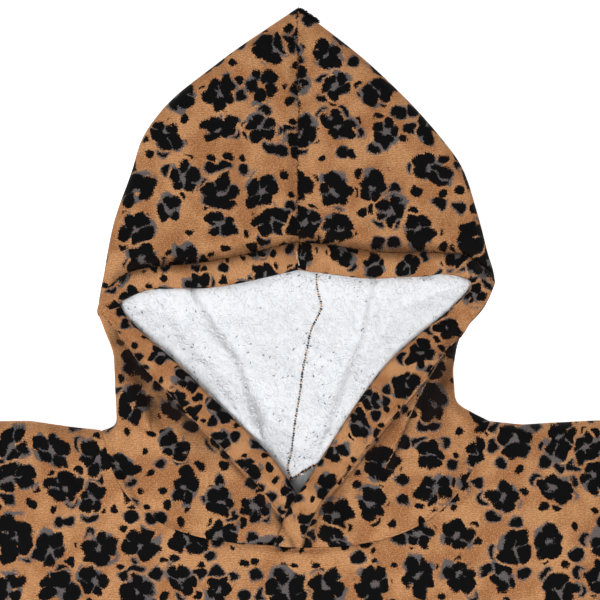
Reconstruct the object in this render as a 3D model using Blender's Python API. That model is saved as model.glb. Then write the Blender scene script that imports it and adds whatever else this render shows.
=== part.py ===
"""A wearable blanket hoodie laid flat on its back, with its front uppermost and its hood open.

Metres, +Z up. +Y runs to the tip of the hood and +X to the right as the garment is seen from
above. The origin is on the floor under the middle of its outline. Each piece of cloth is a wall
between two grids of points, an outer one and an inner one. Both come from the same section, so the
lining and the turned hem lie on the hood's panels. Sizes and tables are in millimetres and are
measured from the middle of the neck at shoulder height; MM and ORIGIN_Y take them to the frame.
"""

import math
from collections import namedtuple

import bmesh
import bpy
import numpy as np

MM = 0.001

# Walls of cloth
SEAM_GAP = 0.3
HOOD_CLOTH = 2.5
LINING_GAP = 1.0
LINING_CLOTH = 4.0
BODY_CLOTH = 5.0
HEM_CLOTH = 3.6
HEM_GAP = 0.4
HEM_DROP = 4.6
LINING_BACK = 4.0
LINING_SHORT_OF_SEAM = 0.5

# Heights above the floor of the uppermost face
BODY_HEIGHT = 11.5
HOOD_HEIGHT = 19.0
HOOD_RISE_FROM = -220.0
HOOD_RISE_TO = -60.0
FOLD_RADIUS = 10.0
EDGE_RADIUS = 11.0
RIM = 1.7
TIP_BLEND = 30.0

# Plan sizes
TIP_Y = 358.0
HEM_Y = -872.0
HEM_CORNER_RISE = 7.0
UNDERARM_Y = -262.0
ORIGIN_Y = (TIP_Y + HEM_Y) / 2
BACK_NECK_SAG = -9.0

# One row for each section of a hood panel, from the neck seam up to the seam over the head. A
# section leaves the centre back seam at seam_y, runs on the floor to the side fold, turns there
# and comes back on top to the face edge, bowed by bow on the way. hem is the width of the hem.
# lined is the share of the way from fold to edge that the lining covers.
HoodSection = namedtuple("HoodSection", "seam_y fold_x fold_y edge_x edge_y bow_x bow_y hem lined")
HOOD_RIGHT = (
    (-46.0, 162.4, 7.7, -17.4, -97.0, 32.0, -30.6, 22.0, 0.5),
    (-37.0, 159.7, 9.1, -12.5, -84.0, 29.5, -26.5, 21.0, 0.5),
    (-28.0, 157.0, 10.5, -4.4, -65.1, 27.0, -22.0, 21.0, 0.6),
    (-8.0, 146.0, 16.2, 10.5, -42.0, 22.0, -17.0, 25.0, 0.8),
    (14.0, 135.0, 24.0, 30.0, -12.5, 16.0, -12.0, 29.5, 0.97),
    (38.0, 132.3, 40.0, 52.3, 22.1, 9.0, -7.0, 36.5, 0.97),
    (62.0, 132.5, 58.0, 80.0, 58.0, 4.0, -3.0, 38.0, 0.97),
    (86.0, 139.0, 82.0, 108.6, 84.2, 1.0, -1.0, 32.0, 0.97),
    (108.0, 155.0, 107.0, 134.0, 106.6, 0.0, 0.0, 26.5, 0.97),
    (128.0, 163.5, 128.0, 148.8, 126.3, 0.0, 0.0, 24.0, 0.97),
    (139.0, 163.4, 137.0, 141.0, 130.6, 0.0, 0.0, 23.5, 0.97),
    (152.0, 161.5, 148.0, 130.0, 133.5, 0.0, 0.0, 23.0, 0.97),
    (190.0, 152.0, 184.0, 108.8, 133.1, 0.0, 0.0, 22.0, 0.97),
    (230.0, 136.0, 228.0, 84.0, 132.4, 0.0, 0.0, 22.0, 0.97),
    (250.0, 123.0, 245.5, 70.0, 131.6, 0.0, 0.0, 22.0, 0.97),
    (271.0, 106.0, 265.5, 56.0, 132.0, 0.0, 0.0, 22.0, 0.97),
    (310.0, 62.0, 309.0, 28.0, 135.5, 0.0, 0.0, 22.0, 0.97),
    (TIP_Y - FOLD_RADIUS, 0.0, TIP_Y, 0.0, 139.0, 0.0, 0.0, 22.0, 0.97),
)
HOOD_LEFT = (
    (-46.0, -165.8, 0.0, 20.0, -94.6, -38.6, -28.4, 20.0, 0.97),
    (-36.0, -162.8, 1.0, 12.5, -82.0, -34.5, -23.5, 20.0, 0.97),
    (-28.0, -160.0, 2.0, 8.0, -75.0, -32.0, -19.0, 20.5, 0.97),
    (-8.0, -154.5, 6.0, -5.0, -52.0, -26.0, -15.0, 24.5, 0.97),
    (14.0, -154.0, 17.0, -22.0, -26.0, -18.0, -11.0, 33.0, 0.97),
    (38.0, -154.8, 33.0, -50.2, 3.7, -11.0, -7.0, 35.5, 0.97),
    (62.0, -155.5, 50.0, -78.2, 30.6, -6.0, -4.0, 36.0, 0.97),
    (82.0, -156.0, 68.0, -106.3, 58.7, -2.0, -2.0, 37.0, 0.97),
    (100.0, -160.0, 88.0, -133.0, 83.0, 0.0, 0.0, 27.0, 0.97),
    (116.0, -165.5, 105.0, -152.2, 107.0, 0.0, 0.0, 22.5, 0.97),
    (127.0, -165.2, 117.0, -144.5, 113.6, 0.0, 0.0, 21.5, 0.97),
    (140.0, -163.0, 132.0, -134.0, 119.0, 0.0, 0.0, 21.0, 0.97),
    (180.0, -156.0, 176.0, -108.0, 122.7, 0.0, 0.0, 21.0, 0.97),
    (222.0, -141.0, 219.0, -82.0, 123.2, 0.0, 0.0, 21.0, 0.97),
    (244.0, -131.5, 248.0, -68.0, 124.6, 0.0, 0.0, 21.0, 0.97),
    (266.0, -117.5, 268.5, -54.0, 127.0, 0.0, 0.0, 21.0, 0.97),
    (306.0, -68.0, 311.0, -27.0, 133.0, 0.0, 0.0, 21.0, 0.97),
    (TIP_Y - FOLD_RADIUS, 0.0, TIP_Y, 0.0, 139.0, 0.0, 0.0, 22.0, 0.97),
)

# Where the right side of the hood lies over the left one at the front of the neck
LAP_LIFT = 9.4
LAP_LIFT_AT_SEAM = 5.2
LAP_LEFT_EDGE = (-1.8, -59.8)
LAP_LEFT_SLOPE = 0.62
LAP_REACH = 42.0
LAP_RAMP = 25.0
LAP_SEAM_FROM_Y = -86.0
LAP_SEAM_RAMP = 10.0
LAP_BODY_SHARE = 0.8
LAP_BODY_RAMP = 24.0

# Shoulder line from the neck outwards, half width of the body down its side, and the sleeve's
# sections from the armhole to the cuff
ShoulderPoint = namedtuple("ShoulderPoint", "x y")
SHOULDER_RIGHT = ((162.4, 7.7), (190.0, 4.8), (215.0, 6.4), (257.0, 8.5), (340.0, 7.5), (430.0, 2.0))
SHOULDER_LEFT = ((-165.8, 0.0), (-190.0, 2.6), (-228.0, 8.0), (-257.0, 7.6), (-340.0, 7.0), (-430.0, 2.0))
SidePoint = namedtuple("SidePoint", "y half_width")
SIDE = ((-868.0, 452.0), (-700.0, 447.0), (-560.0, 440.0), (-400.0, 430.0), (-262.0, 425.0), (2.0, 430.0))
SleeveSection = namedtuple("SleeveSection", "top_x top_y under_x under_y")
SLEEVE = (
    (430.0, 2.0, 425.0, -262.0),
    (500.0, -8.0, 486.0, -250.0),
    (590.0, -30.0, 566.0, -244.0),
    (680.0, -58.0, 650.0, -244.0),
    (765.0, -86.0, 730.0, -250.0),
    (838.0, -110.0, 800.0, -262.0),
)

# Soft folds: a ridge, or a valley where height is negative, along a line from one end to the other
Fold = namedtuple("Fold", "x0 y0 x1 y1 width height")
FOLDS = (
    (0.0, 195.0, 0.0, 265.0, 95.0, 7.5),
    (-112.0, 128.0, 112.0, 136.0, 20.0, 3.0),
    (0.0, 150.0, 0.0, 340.0, 7.0, -3.0),
    (-118.0, 62.0, -22.0, -38.0, 20.0, 3.0),
    (92.0, 62.0, 22.0, -30.0, 22.0, 4.0),
    (116.0, 58.0, 84.0, -8.0, 9.0, 3.5),
    (-128.0, 52.0, -122.0, 24.0, 9.0, -3.0),
    (-148.0, -48.0, -62.0, -108.0, 14.0, 2.5),
    (140.0, -52.0, 60.0, -110.0, 14.0, 2.5),
    (-62.0, 160.0, -92.0, 262.0, 14.0, 2.5),
    (84.0, 158.0, 104.0, 216.0, 13.0, -2.5),
    (-250.0, -50.0, -130.0, -300.0, 42.0, 5.0),
    (262.0, -70.0, 150.0, -330.0, 40.0, 5.5),
    (-60.0, -360.0, -105.0, -800.0, 46.0, 7.0),
    (120.0, -430.0, 92.0, -830.0, 42.0, 7.0),
    (-280.0, -430.0, -305.0, -820.0, 40.0, 6.5),
    (286.0, -390.0, 325.0, -830.0, 42.0, 7.5),
    (0.0, -190.0, 18.0, -400.0, 62.0, 4.0),
    (398.0, -226.0, 300.0, -140.0, 22.0, 7.0),
    (-398.0, -226.0, -290.0, -150.0, 24.0, 7.0),
    (400.0, -290.0, 318.0, -352.0, 20.0, 6.0),
    (-402.0, -285.0, -330.0, -372.0, 22.0, 6.0),
    (470.0, -196.0, 612.0, -112.0, 21.0, 7.0),
    (-468.0, -190.0, -598.0, -122.0, 23.0, 7.0),
    (560.0, -64.0, 700.0, -150.0, 19.0, 5.0),
    (-548.0, -70.0, -672.0, -172.0, 19.0, 5.5),
    (716.0, -112.0, 760.0, -206.0, 15.0, 4.5),
    (-716.0, -110.0, -742.0, -212.0, 16.0, 4.5),
)

# Steps of the grids
HEM_STEPS = 4
TOP_STEPS = 5
TURN_STEPS = 6
BACK_STEPS = 6
FINE_STEPS = 40
BODY_LOWER_ROWS = 8
BODY_TOP_INSETS = (90.0, 45.0, 20.0, 8.0, 3.0, 1.0, 0.0)
BODY_SIDE_COLUMNS = (0.0, 1.0, 3.0, 8.0, 20.0, 70.0, 130.0, 190.0, 235.0)
SLEEVE_INSETS = (0.0, 1.0, 3.6, 11.0)
SLEEVE_MIDDLE = 6
SLEEVE_ROWS_PER_SECTION = 2

# The lining of the back panel, as far as the open neck shows it
BACK_LINING_HALF_WIDTH = 110.0
BACK_LINING_LENGTH = 78.0
BACK_LINING_CLOTH = 3.0
BACK_LINING_STEPS = 4
NECK_GAP = 0.5
NECK_LAP = 24.0

COLOURS = {
    "printed_fleece": ((0.47, 0.24, 0.10, 1.0), 0.9),
    "sherpa": ((0.82, 0.83, 0.84, 1.0), 0.95),
}


def ease(value):
    """0 below 0, 1 above 1, and a smooth step between."""
    value = np.clip(value, 0.0, 1.0)
    return value * value * (3.0 - 2.0 * value)


def smooth_rows(table, per_section):
    """The table's rows with more rows between them, on a Catmull-Rom curve."""
    rows = np.array(table, float)
    padded = np.vstack([2 * rows[0] - rows[1], rows, 2 * rows[-1] - rows[-2]])
    made = []
    for i in range(len(rows) - 1):
        a, b, c, d = padded[i : i + 4]
        for k in range(per_section):
            t = k / per_section
            square, cube = 2 * a - 5 * b + 4 * c - d, 3 * b - a - 3 * c + d
            made.append(0.5 * (2 * b + (c - a) * t + square * t**2 + cube * t**3))
    return np.array(made + [rows[-1]])


def segment_distance(x, y, x0, y0, x1, y1):
    """How far a point lies from a line between two ends, in plan."""
    dx, dy = x1 - x0, y1 - y0
    along = np.clip(((x - x0) * dx + (y - y0) * dy) / (dx * dx + dy * dy), 0.0, 1.0)
    return math.hypot(x - x0 - along * dx, y - y0 - along * dy)


def top_height(x, y):
    """Height of the uppermost face of the cloth, before it turns down at an edge."""
    rise = ease((y - HOOD_RISE_FROM) / (HOOD_RISE_TO - HOOD_RISE_FROM))
    height = BODY_HEIGHT + (HOOD_HEIGHT - BODY_HEIGHT) * rise
    for fold in (Fold(*values) for values in FOLDS):
        away = segment_distance(x, y, fold.x0, fold.y0, fold.x1, fold.y1)
        height += fold.height * math.exp(-((away / fold.width) ** 2))
    return height


def lap_lift(x, y):
    """How far the right side of the hood is raised where it lies over the left one."""
    left_edge = LAP_LEFT_EDGE[0] + (LAP_LEFT_EDGE[1] - y) * LAP_LEFT_SLOPE
    over = ease((left_edge + LAP_REACH - x) / LAP_RAMP)
    to_seam = ease((LAP_SEAM_FROM_Y - y) / LAP_SEAM_RAMP)
    return over * (LAP_LIFT + (LAP_LIFT_AT_SEAM - LAP_LIFT) * to_seam)


def inward_normals(sections, side):
    """Plan direction from the side fold into the hood, at each row. It turns to -Y at the tip."""
    fold = np.array([(section.fold_x, section.fold_y) for section in sections])
    along = np.gradient(fold, axis=0)
    normals = np.stack([-along[:, 1], along[:, 0]], axis=1) * side
    near_tip = ease((fold[:, 1] - (TIP_Y - TIP_BLEND)) / TIP_BLEND)[:, None]
    normals = normals / np.linalg.norm(normals, axis=1)[:, None]
    normals = normals * (1 - near_tip) + np.array([0.0, -1.0]) * near_tip
    return normals / np.linalg.norm(normals, axis=1)[:, None]


def hood_path(section, normal, depth, side, sag=0.0):
    """Close points on one section, depth below the outer face, from the face edge to the seam."""
    seam = np.array([0.0, section.seam_y])
    centre = np.array([section.fold_x, section.fold_y]) + normal * FOLD_RADIUS
    edge = np.array([section.edge_x, section.edge_y])
    bow = np.array([section.bow_x, section.bow_y])
    half = top_height(*centre) / 2
    points = []
    for f in np.linspace(1.0, 0.0, FINE_STEPS + 1):
        x, y = centre * (1 - f) + edge * f + bow * 4 * f * (1 - f)
        lift = lap_lift(x, y) if side > 0 else 0.0
        points.append((x, y, top_height(x, y) + lift - depth))
    for angle in np.linspace(math.pi, 0.0, FINE_STEPS + 1)[1:]:
        x, y = centre - normal * (FOLD_RADIUS - depth) * math.sin(angle)
        points.append((x, y, half - (half - depth) * math.cos(angle)))
    for f in np.linspace(1.0, 0.0, FINE_STEPS + 1)[1:]:
        x, y = seam * (1 - f) + centre * f
        points.append((x, y + sag * 4 * f * (1 - f), depth))
    return np.array(points) + np.array([side * SEAM_GAP / 2, 0.0, 0.0])


def path_lengths(path):
    return np.concatenate([[0.0], np.cumsum(np.linalg.norm(np.diff(path, axis=0), axis=1))])


def hood_places(section, normal, side, sag):
    """Where the points of a section stand on its path: in the hem, the top, the turn, the back."""
    reach = path_lengths(hood_path(section, normal, 0.0, side, sag))
    turn_start, turn_end = reach[FINE_STEPS], reach[2 * FINE_STEPS]
    hem = section.hem
    top = max(turn_start, hem + 4.0)
    lengths = np.concatenate([
        np.linspace(0.0, hem, HEM_STEPS + 1),
        np.linspace(hem, top, TOP_STEPS + 1)[1:],
        np.linspace(top, turn_end, TURN_STEPS + 1)[1:],
        np.linspace(turn_end, reach[-1], BACK_STEPS + 1)[1:],
    ])
    return lengths, np.interp(lengths, reach, np.arange(len(reach))), reach


def on_path(path, places):
    return np.stack([np.interp(places, np.arange(len(path)), path[:, i]) for i in range(3)], axis=1)


def section_frames(table, side):
    """Each section with its plan direction inwards and how far its back sags at the neck."""
    sections = [HoodSection(*values) for values in table]
    normals = inward_normals(sections, side)
    sags = [BACK_NECK_SAG * max(0.0, 1 - k / 3) for k in range(len(sections))]
    return list(zip(sections, normals, sags))


def hood_grid(table, side, depth, lining=False):
    """A grid of points on a hood panel, depth below its outer face."""
    grid = []
    for section, normal, sag in section_frames(table, side):
        lengths, places, reach = hood_places(section, normal, side, sag)
        if lining:
            start = max(LINING_BACK, (1.0 - section.lined) * reach[FINE_STEPS])
            end = max(reach[FINE_STEPS], start + 8.0)
            lengths = np.where(lengths < end, start + lengths * (end - start) / end, lengths)
            places = np.interp(lengths, reach, np.arange(len(reach)))
        grid.append(on_path(hood_path(section, normal, depth, side, sag), places))
    grid = np.array(grid)
    if lining:
        grid[0] += (grid[1] - grid[0]) * LINING_SHORT_OF_SEAM
    return grid


def hem_ring(section, normal, sag, side):
    """The closed profile of the turned hem on one section: over the panel and round its edge."""
    places = hood_places(section, normal, side, sag)[1][: HEM_STEPS + 1]
    under = on_path(hood_path(section, normal, -HEM_GAP, side, sag), places)
    over = on_path(hood_path(section, normal, -HEM_GAP - HEM_CLOTH, side, sag), places)
    over[-1] = under[-1] * 0.55 + over[-1] * 0.45
    ahead = under[0] - under[1]
    ahead /= np.linalg.norm(ahead)
    down = (under[0] - over[0]) / HEM_CLOTH
    front = (
        under[0] + ahead * 1.6 - down * 0.75 * HEM_CLOTH,
        under[0] + ahead * 2.7,
        under[0] + ahead * 2.5 + down * HEM_DROP,
        under[0] + ahead * 0.5 + down * HEM_DROP,
        under[0] + ahead * 0.5,
    )
    return list(over[::-1]) + list(front) + list(under)


# The faces that close the end of the hem, by the numbers of the points in hem_ring
HEM_CAP = (
    (0, 1, 13, 14),
    (1, 2, 12, 13),
    (2, 3, 11, 12),
    (3, 4, 10, 11),
    (4, 5, 9, 10),
    (5, 6, 9),
    (6, 7, 8, 9),
)


def edge_lines():
    """Plan lines where the cloth turns down: shoulders, sleeves and side seams, on both sides."""
    lines = []
    sleeve = [SleeveSection(*values) for values in SLEEVE]
    side_seam = [SidePoint(*values) for values in SIDE[:-1]][::-1]
    for side, shoulder in ((1, SHOULDER_RIGHT), (-1, SHOULDER_LEFT)):
        top = [(side * section.top_x, section.top_y) for section in sleeve]
        under = [(side * section.under_x, section.under_y) for section in sleeve]
        lines.append(list(shoulder) + top[1:])
        lines.append(under[::-1] + [(side * point.half_width, point.y) for point in side_seam[1:]])
    return lines


EDGE_LINES = edge_lines()


def turned_down(x, y):
    """1 away from the garment's closed edges, falling as a quarter circle to 0 on them."""
    near = min(segment_distance(x, y, *a, *b) for line in EDGE_LINES for a, b in zip(line, line[1:]))
    share = min(near / EDGE_RADIUS, 1.0)
    return math.sqrt(1.0 - (1.0 - share) ** 2)


def front_outer(x, y):
    """Height of the front of the body. At the neck it rises to meet the lapped hood."""
    rim = BODY_CLOTH + SEAM_GAP + RIM
    across = ease((x + NECK_LAP + 20.0) / LAP_BODY_RAMP) * ease((LAP_REACH + 20.0 - x) / LAP_RAMP)
    lapped = across * ease((y + 122.0) / LAP_BODY_RAMP)
    return rim + (top_height(x, y) - rim) * turned_down(x, y) + LAP_LIFT_AT_SEAM * LAP_BODY_SHARE * lapped


def front_inner(x, y):
    return max(BODY_CLOTH + SEAM_GAP, front_outer(x, y) - BODY_CLOTH)


def back_outer(x, y):
    return (BODY_CLOTH - RIM) * (1.0 - turned_down(x, y))


def back_inner(x, y):
    return BODY_CLOTH


def half_width(y):
    points = [SidePoint(*values) for values in SIDE]
    return float(np.interp(y, [p.y for p in points], [p.half_width for p in points]))


def shoulder_y(x):
    points = [ShoulderPoint(*values) for values in (SHOULDER_RIGHT if x > 0 else SHOULDER_LEFT[::-1])]
    return float(np.interp(x, [p.x for p in points], [p.y for p in points]))


def neckline(table, side, on_top):
    """Plan points of the hood's neck section, from the shoulder to the centre, moved off it."""
    path = hood_grid(table, side, 0.0)[0][:, :2]
    widest = HEM_STEPS + TOP_STEPS + TURN_STEPS // 2
    path = path[: widest + 1][::-1] if on_top else path[widest:]
    moved = []
    for k, point in enumerate(path):
        before, after = path[max(k - 1, 0)], path[min(k + 1, len(path) - 1)]
        along = (after - before) / np.linalg.norm(after - before)
        away = np.array([along[1], -along[0]]) * -side
        moved.append(point + away * NECK_GAP)
    return moved


def top_edge(on_top):
    """Plan points of a body panel's top edge, from the left armhole to the right one."""
    necks = {side: neckline(table, side, on_top) for side, table in ((-1, HOOD_LEFT), (1, HOOD_RIGHT))}
    lapped = NECK_LAP if on_top else 3.0
    low = min(p[1] for neck in necks.values() for p in neck if abs(p[0]) < lapped) - 0.2
    halves = []
    for side in (-1, 1):
        neck = [p for p in necks[side] if p[0] * side > lapped]
        if on_top:
            neck.append(np.array([side * NECK_LAP / 2, low]))
        neck.append(np.array([0.0, low]))
        start = neck[0][0] + side * 0.1
        reach = abs(side * half_width(0.0) - start)
        outer = [side * (half_width(0.0) - inset * reach / 255.0) for inset in BODY_SIDE_COLUMNS]
        line = [np.array([x, shoulder_y(x)]) for x in outer] + [np.array([start, shoulder_y(start)])] + neck
        halves.append(line)
    left, right = halves
    return left[:-1] + right[::-1]


def body_grid(on_top, outer):
    """A grid of points on the front or the back of the body: rows from the hem to the top."""
    top = top_edge(on_top)
    if on_top:
        height = front_outer if outer else front_inner
    else:
        height = back_outer if outer else back_inner
    span = np.array([p[0] / half_width(p[1]) for p in top])
    evened = np.sign(span) * np.abs(span) ** 0.92
    grid = []
    for k in range(BODY_LOWER_ROWS):
        share = k / BODY_LOWER_ROWS
        line = []
        for c, even in zip(span, evened):
            hem = HEM_Y + HEM_CORNER_RISE * c * c
            y = hem + (UNDERARM_Y - hem) * share
            x = even * half_width(y)
            line.append((x, y, height(x, y)))
        grid.append(line)
    for k, inset in enumerate((None,) + BODY_TOP_INSETS):
        line = []
        for point, c, even in zip(top, span, evened):
            y = UNDERARM_Y if inset is None else point[1] - inset
            share = (y - UNDERARM_Y) / (point[1] - UNDERARM_Y)
            x = (even * (1 - share) + c * share) * half_width(y)
            line.append((x, y, height(x, y)))
        grid.append(line)
    return np.array(grid)


def sleeve_grid(side, outer):
    """A grid of points round a sleeve, from the underarm seam over the top fold and back to it."""
    rows = smooth_rows(SLEEVE, SLEEVE_ROWS_PER_SECTION)
    inset = 0.0 if outer else BODY_CLOTH
    grid = []
    for k, (top_x, top_y, under_x, under_y) in enumerate(rows):
        start = SEAM_GAP if k == 0 else 0.0
        top = np.array([side * (top_x + start), top_y])
        under = np.array([side * (under_x + start), under_y])
        length = np.linalg.norm(top - under)
        ends = np.array(SLEEVE_INSETS)
        middle = np.linspace(ends[-1], length - ends[-1], SLEEVE_MIDDLE + 2)[1:-1]
        across = np.concatenate([ends, middle, (length - ends)[::-1]])
        line = []
        for on_top in (True, False):
            places = across[::-1] if on_top else across
            for q in places:
                at_underarm = length - q < 1e-6
                if not on_top and q == 0.0:
                    continue
                plan = top + (under - top) * ((inset + q * (length - 2 * inset) / length) / length)
                near = min(q, length - q) / EDGE_RADIUS
                turned = math.sqrt(1.0 - (1.0 - min(near, 1.0)) ** 2)
                full = top_height(*(top + (under - top) * q / length))
                middle_z = BODY_HEIGHT / 2
                slit = SEAM_GAP / 2 if at_underarm else 0.0
                if on_top:
                    z = middle_z + slit + (full - inset - middle_z) * turned
                else:
                    z = middle_z - slit - (middle_z - inset) * turned
                line.append((*plan, z))
        grid.append(line)
    return np.array(grid)


def back_lining_grid(upper):
    """The lining that lies on the back panel below the back of the neck."""
    top = [p for p in top_edge(False) if abs(p[0]) <= BACK_LINING_HALF_WIDTH]
    z = BODY_CLOTH + SEAM_GAP + (BACK_LINING_CLOTH if upper else 0.0)
    grid = []
    for share in np.linspace(1.0, 0.0, BACK_LINING_STEPS + 1):
        grid.append([(p[0], p[1] - BACK_LINING_LENGTH * share, z) for p in top])
    return np.array(grid)


def material(name):
    colour, roughness = COLOURS[name]
    made = bpy.data.materials.get(name) or bpy.data.materials.new(name)
    made.use_nodes = True
    shader = made.node_tree.nodes["Principled BSDF"]
    shader.inputs["Base Color"].default_value = colour
    shader.inputs["Roughness"].default_value = roughness
    shader.inputs["Metallic"].default_value = 0.0
    return made


def add_object(name, mesh, material_name, parts):
    mesh.materials.append(material(material_name))
    mesh.shade_smooth()
    made = bpy.data.objects.new(name, mesh)
    parts.objects.link(made)
    return made


def to_frame(point):
    x, y, z = point
    return (x * MM, (y - ORIGIN_Y) * MM, z * MM)


def finish_mesh(name, bm):
    bmesh.ops.remove_doubles(bm, verts=bm.verts, dist=1e-6)
    bmesh.ops.recalc_face_normals(bm, faces=bm.faces)
    mesh = bpy.data.meshes.new(name)
    bm.to_mesh(mesh)
    bm.free()
    return mesh


def wall(name, outer, inner, material_name, parts):
    """A piece of cloth: a grid set on its outer points, extruded to its inner ones."""
    rows, columns = outer.shape[:2]
    bm = bmesh.new()
    bmesh.ops.create_grid(bm, x_segments=columns - 1, y_segments=rows - 1, size=1.0)
    place = bm.verts.layers.int.new("place")
    for k, vert in enumerate(bm.verts):
        vert[place] = k
        vert.co = to_frame(outer.reshape(-1, 3)[k])
    made = bmesh.ops.extrude_face_region(bm, geom=bm.faces[:], use_keep_orig=True)
    for vert in (g for g in made["geom"] if isinstance(g, bmesh.types.BMVert)):
        vert.co = to_frame(inner.reshape(-1, 3)[vert[place]])
    return add_object(name, finish_mesh(name, bm), material_name, parts)


def strip(name, rings, material_name, parts):
    """A closed profile carried along a row of sections, capped at both ends."""
    bm = bmesh.new()
    loops = [[bm.verts.new(to_frame(p)) for p in ring] for ring in rings]
    count = len(loops[0])
    for a, b in zip(loops, loops[1:]):
        for k in range(count):
            n = (k + 1) % count
            bm.faces.new((a[k], a[n], b[n], b[k]))
    for loop in (loops[0], loops[-1]):
        for cap in HEM_CAP:
            bm.faces.new([loop[k] for k in cap])
    return add_object(name, finish_mesh(name, bm), material_name, parts)


def build_hood(parts):
    lining_outer = HOOD_CLOTH + LINING_GAP
    for side, word, table in ((1, "right", HOOD_RIGHT), (-1, "left", HOOD_LEFT)):
        faces = [hood_grid(table, side, depth) for depth in (0.0, HOOD_CLOTH)]
        wall(f"hood_{word}", *faces, "printed_fleece", parts)
        depths = (lining_outer, lining_outer + LINING_CLOTH)
        faces = [hood_grid(table, side, depth, lining=True) for depth in depths]
        wall(f"hood_lining_{word}", *faces, "sherpa", parts)
        first = 0 if side > 0 else 1
        rings = [hem_ring(*section, side) for section in section_frames(table, side)[first:]]
        strip(f"hood_hem_{word}", rings, "printed_fleece", parts)


def build_body(parts):
    wall("body_front", body_grid(True, True), body_grid(True, False), "printed_fleece", parts)
    wall("body_back", body_grid(False, True), body_grid(False, False), "printed_fleece", parts)
    wall("back_lining", back_lining_grid(True), back_lining_grid(False), "sherpa", parts)
    for side, word in ((1, "right"), (-1, "left")):
        wall(f"sleeve_{word}", sleeve_grid(side, True), sleeve_grid(side, False), "printed_fleece", parts)


def build():
    for old in list(bpy.data.objects):
        bpy.data.objects.remove(old)
    parts = bpy.data.collections.new("wearable_blanket_hoodie")
    bpy.context.scene.collection.children.link(parts)
    build_hood(parts)
    build_body(parts)


build()
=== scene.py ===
"""The looks of a wearable blanket hoodie laid flat on its back with its hood open.

Metres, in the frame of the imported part: +Z up, +Y to the tip of the hood. Tables and sizes are in
millimetres from the middle of the neck at shoulder height, and MM and ORIGIN_Y take them to the
frame. Each sheet of cloth is a fine thin shell on the form of the solid that it replaces.
"""

import math
from collections import namedtuple

import bpy
import numpy as np
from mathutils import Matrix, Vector
from mathutils.kdtree import KDTree


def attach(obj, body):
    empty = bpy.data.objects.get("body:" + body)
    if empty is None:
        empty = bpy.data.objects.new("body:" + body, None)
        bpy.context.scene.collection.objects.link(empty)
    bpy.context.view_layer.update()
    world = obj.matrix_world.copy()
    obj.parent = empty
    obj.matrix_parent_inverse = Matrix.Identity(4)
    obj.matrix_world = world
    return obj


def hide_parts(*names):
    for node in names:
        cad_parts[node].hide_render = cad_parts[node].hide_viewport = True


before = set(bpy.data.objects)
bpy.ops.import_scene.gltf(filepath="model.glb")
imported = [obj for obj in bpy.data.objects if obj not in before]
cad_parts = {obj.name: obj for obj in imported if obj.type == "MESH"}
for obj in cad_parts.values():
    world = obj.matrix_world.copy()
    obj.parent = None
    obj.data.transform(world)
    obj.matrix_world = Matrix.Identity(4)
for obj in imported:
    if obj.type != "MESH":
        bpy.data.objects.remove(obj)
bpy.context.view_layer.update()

MM = 0.001

# Walls of cloth, as in the solids
SEAM_GAP = 0.3
PANEL_GAP = 0.06
HOOD_CLOTH = 2.5
LINING_GAP = 1.0
LINING_CLOTH = 4.0
BODY_CLOTH = 5.0
HEM_CLOTH = 3.6
HEM_GAP = 0.4
HEM_DROP = 7.2
HEM_THINNEST = 0.25
HEM_PRINT_DRAWN_IN = np.array([1.15, 1.3])
STITCHES_FROM_CREASE = 2.5
LINING_BACK = 4.0
LINING_SHORT_OF_SEAM = 0.5
WANDER_FROM_Y = 145.0

# Heights above the floor
BODY_HEIGHT = 11.5
HOOD_HEIGHT = 19.0
HOOD_RISE_FROM = -220.0
HOOD_RISE_TO = -60.0
FOLD_RADIUS = 10.0
EDGE_RADIUS = 11.0
RIM = 1.7
TIP_BLEND = 30.0

# The top of the hood stays this high, so that no valley in it reaches the lining on the floor
LEAST_OVER_LINING = 15.7
EASED_OVER = 2.2

# Plan sizes
TIP_Y = 358.0
HEM_Y = -872.0
HEM_CORNER_RISE = 7.0
UNDERARM_Y = -262.0
ORIGIN_Y = (TIP_Y + HEM_Y) / 2
BACK_NECK_SAG = -9.0

HoodSection = namedtuple("HoodSection", "seam_y fold_x fold_y edge_x edge_y bow_x bow_y hem lined")
HOOD_RIGHT = (
    (-46.0, 162.4, 7.7, -17.4, -97.0, 32.0, -30.6, 22.0, 0.5),
    (-37.0, 159.7, 9.1, -12.5, -84.0, 29.5, -26.5, 21.0, 0.5),
    (-28.0, 157.0, 10.5, -4.4, -65.1, 27.0, -22.0, 21.0, 0.6),
    (-8.0, 146.0, 16.2, 10.5, -42.0, 22.0, -17.0, 25.0, 0.8),
    (14.0, 135.0, 24.0, 30.0, -12.5, 16.0, -12.0, 29.5, 0.97),
    (38.0, 132.3, 40.0, 52.3, 22.1, 9.0, -7.0, 36.5, 0.97),
    (62.0, 132.5, 58.0, 80.0, 58.0, 4.0, -3.0, 38.0, 0.97),
    (86.0, 139.0, 82.0, 108.6, 84.2, 1.0, -1.0, 32.0, 0.97),
    (108.0, 159.5, 107.0, 134.0, 106.6, 0.0, 0.0, 26.0, 0.97),
    (128.0, 166.6, 128.0, 148.8, 126.3, 0.0, 0.0, 18.5, 0.97),
    (139.0, 165.0, 137.0, 141.0, 130.6, 0.0, 0.0, 20.5, 0.97),
    (152.0, 161.5, 148.0, 130.0, 133.5, 0.0, 0.0, 23.0, 0.97),
    (190.0, 152.0, 184.0, 108.8, 133.1, 0.0, 0.0, 22.0, 0.97),
    (230.0, 136.0, 228.0, 84.0, 132.4, 0.0, 0.0, 22.0, 0.97),
    (250.0, 123.0, 245.5, 70.0, 131.6, 0.0, 0.0, 22.0, 0.97),
    (271.0, 106.0, 265.5, 56.0, 132.0, 0.0, 0.0, 22.0, 0.97),
    (310.0, 62.0, 309.0, 28.0, 135.5, 0.0, 0.0, 22.0, 0.97),
    (TIP_Y - FOLD_RADIUS, 0.0, TIP_Y, 0.0, 139.0, 0.0, 0.0, 22.0, 0.97),
)
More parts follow.
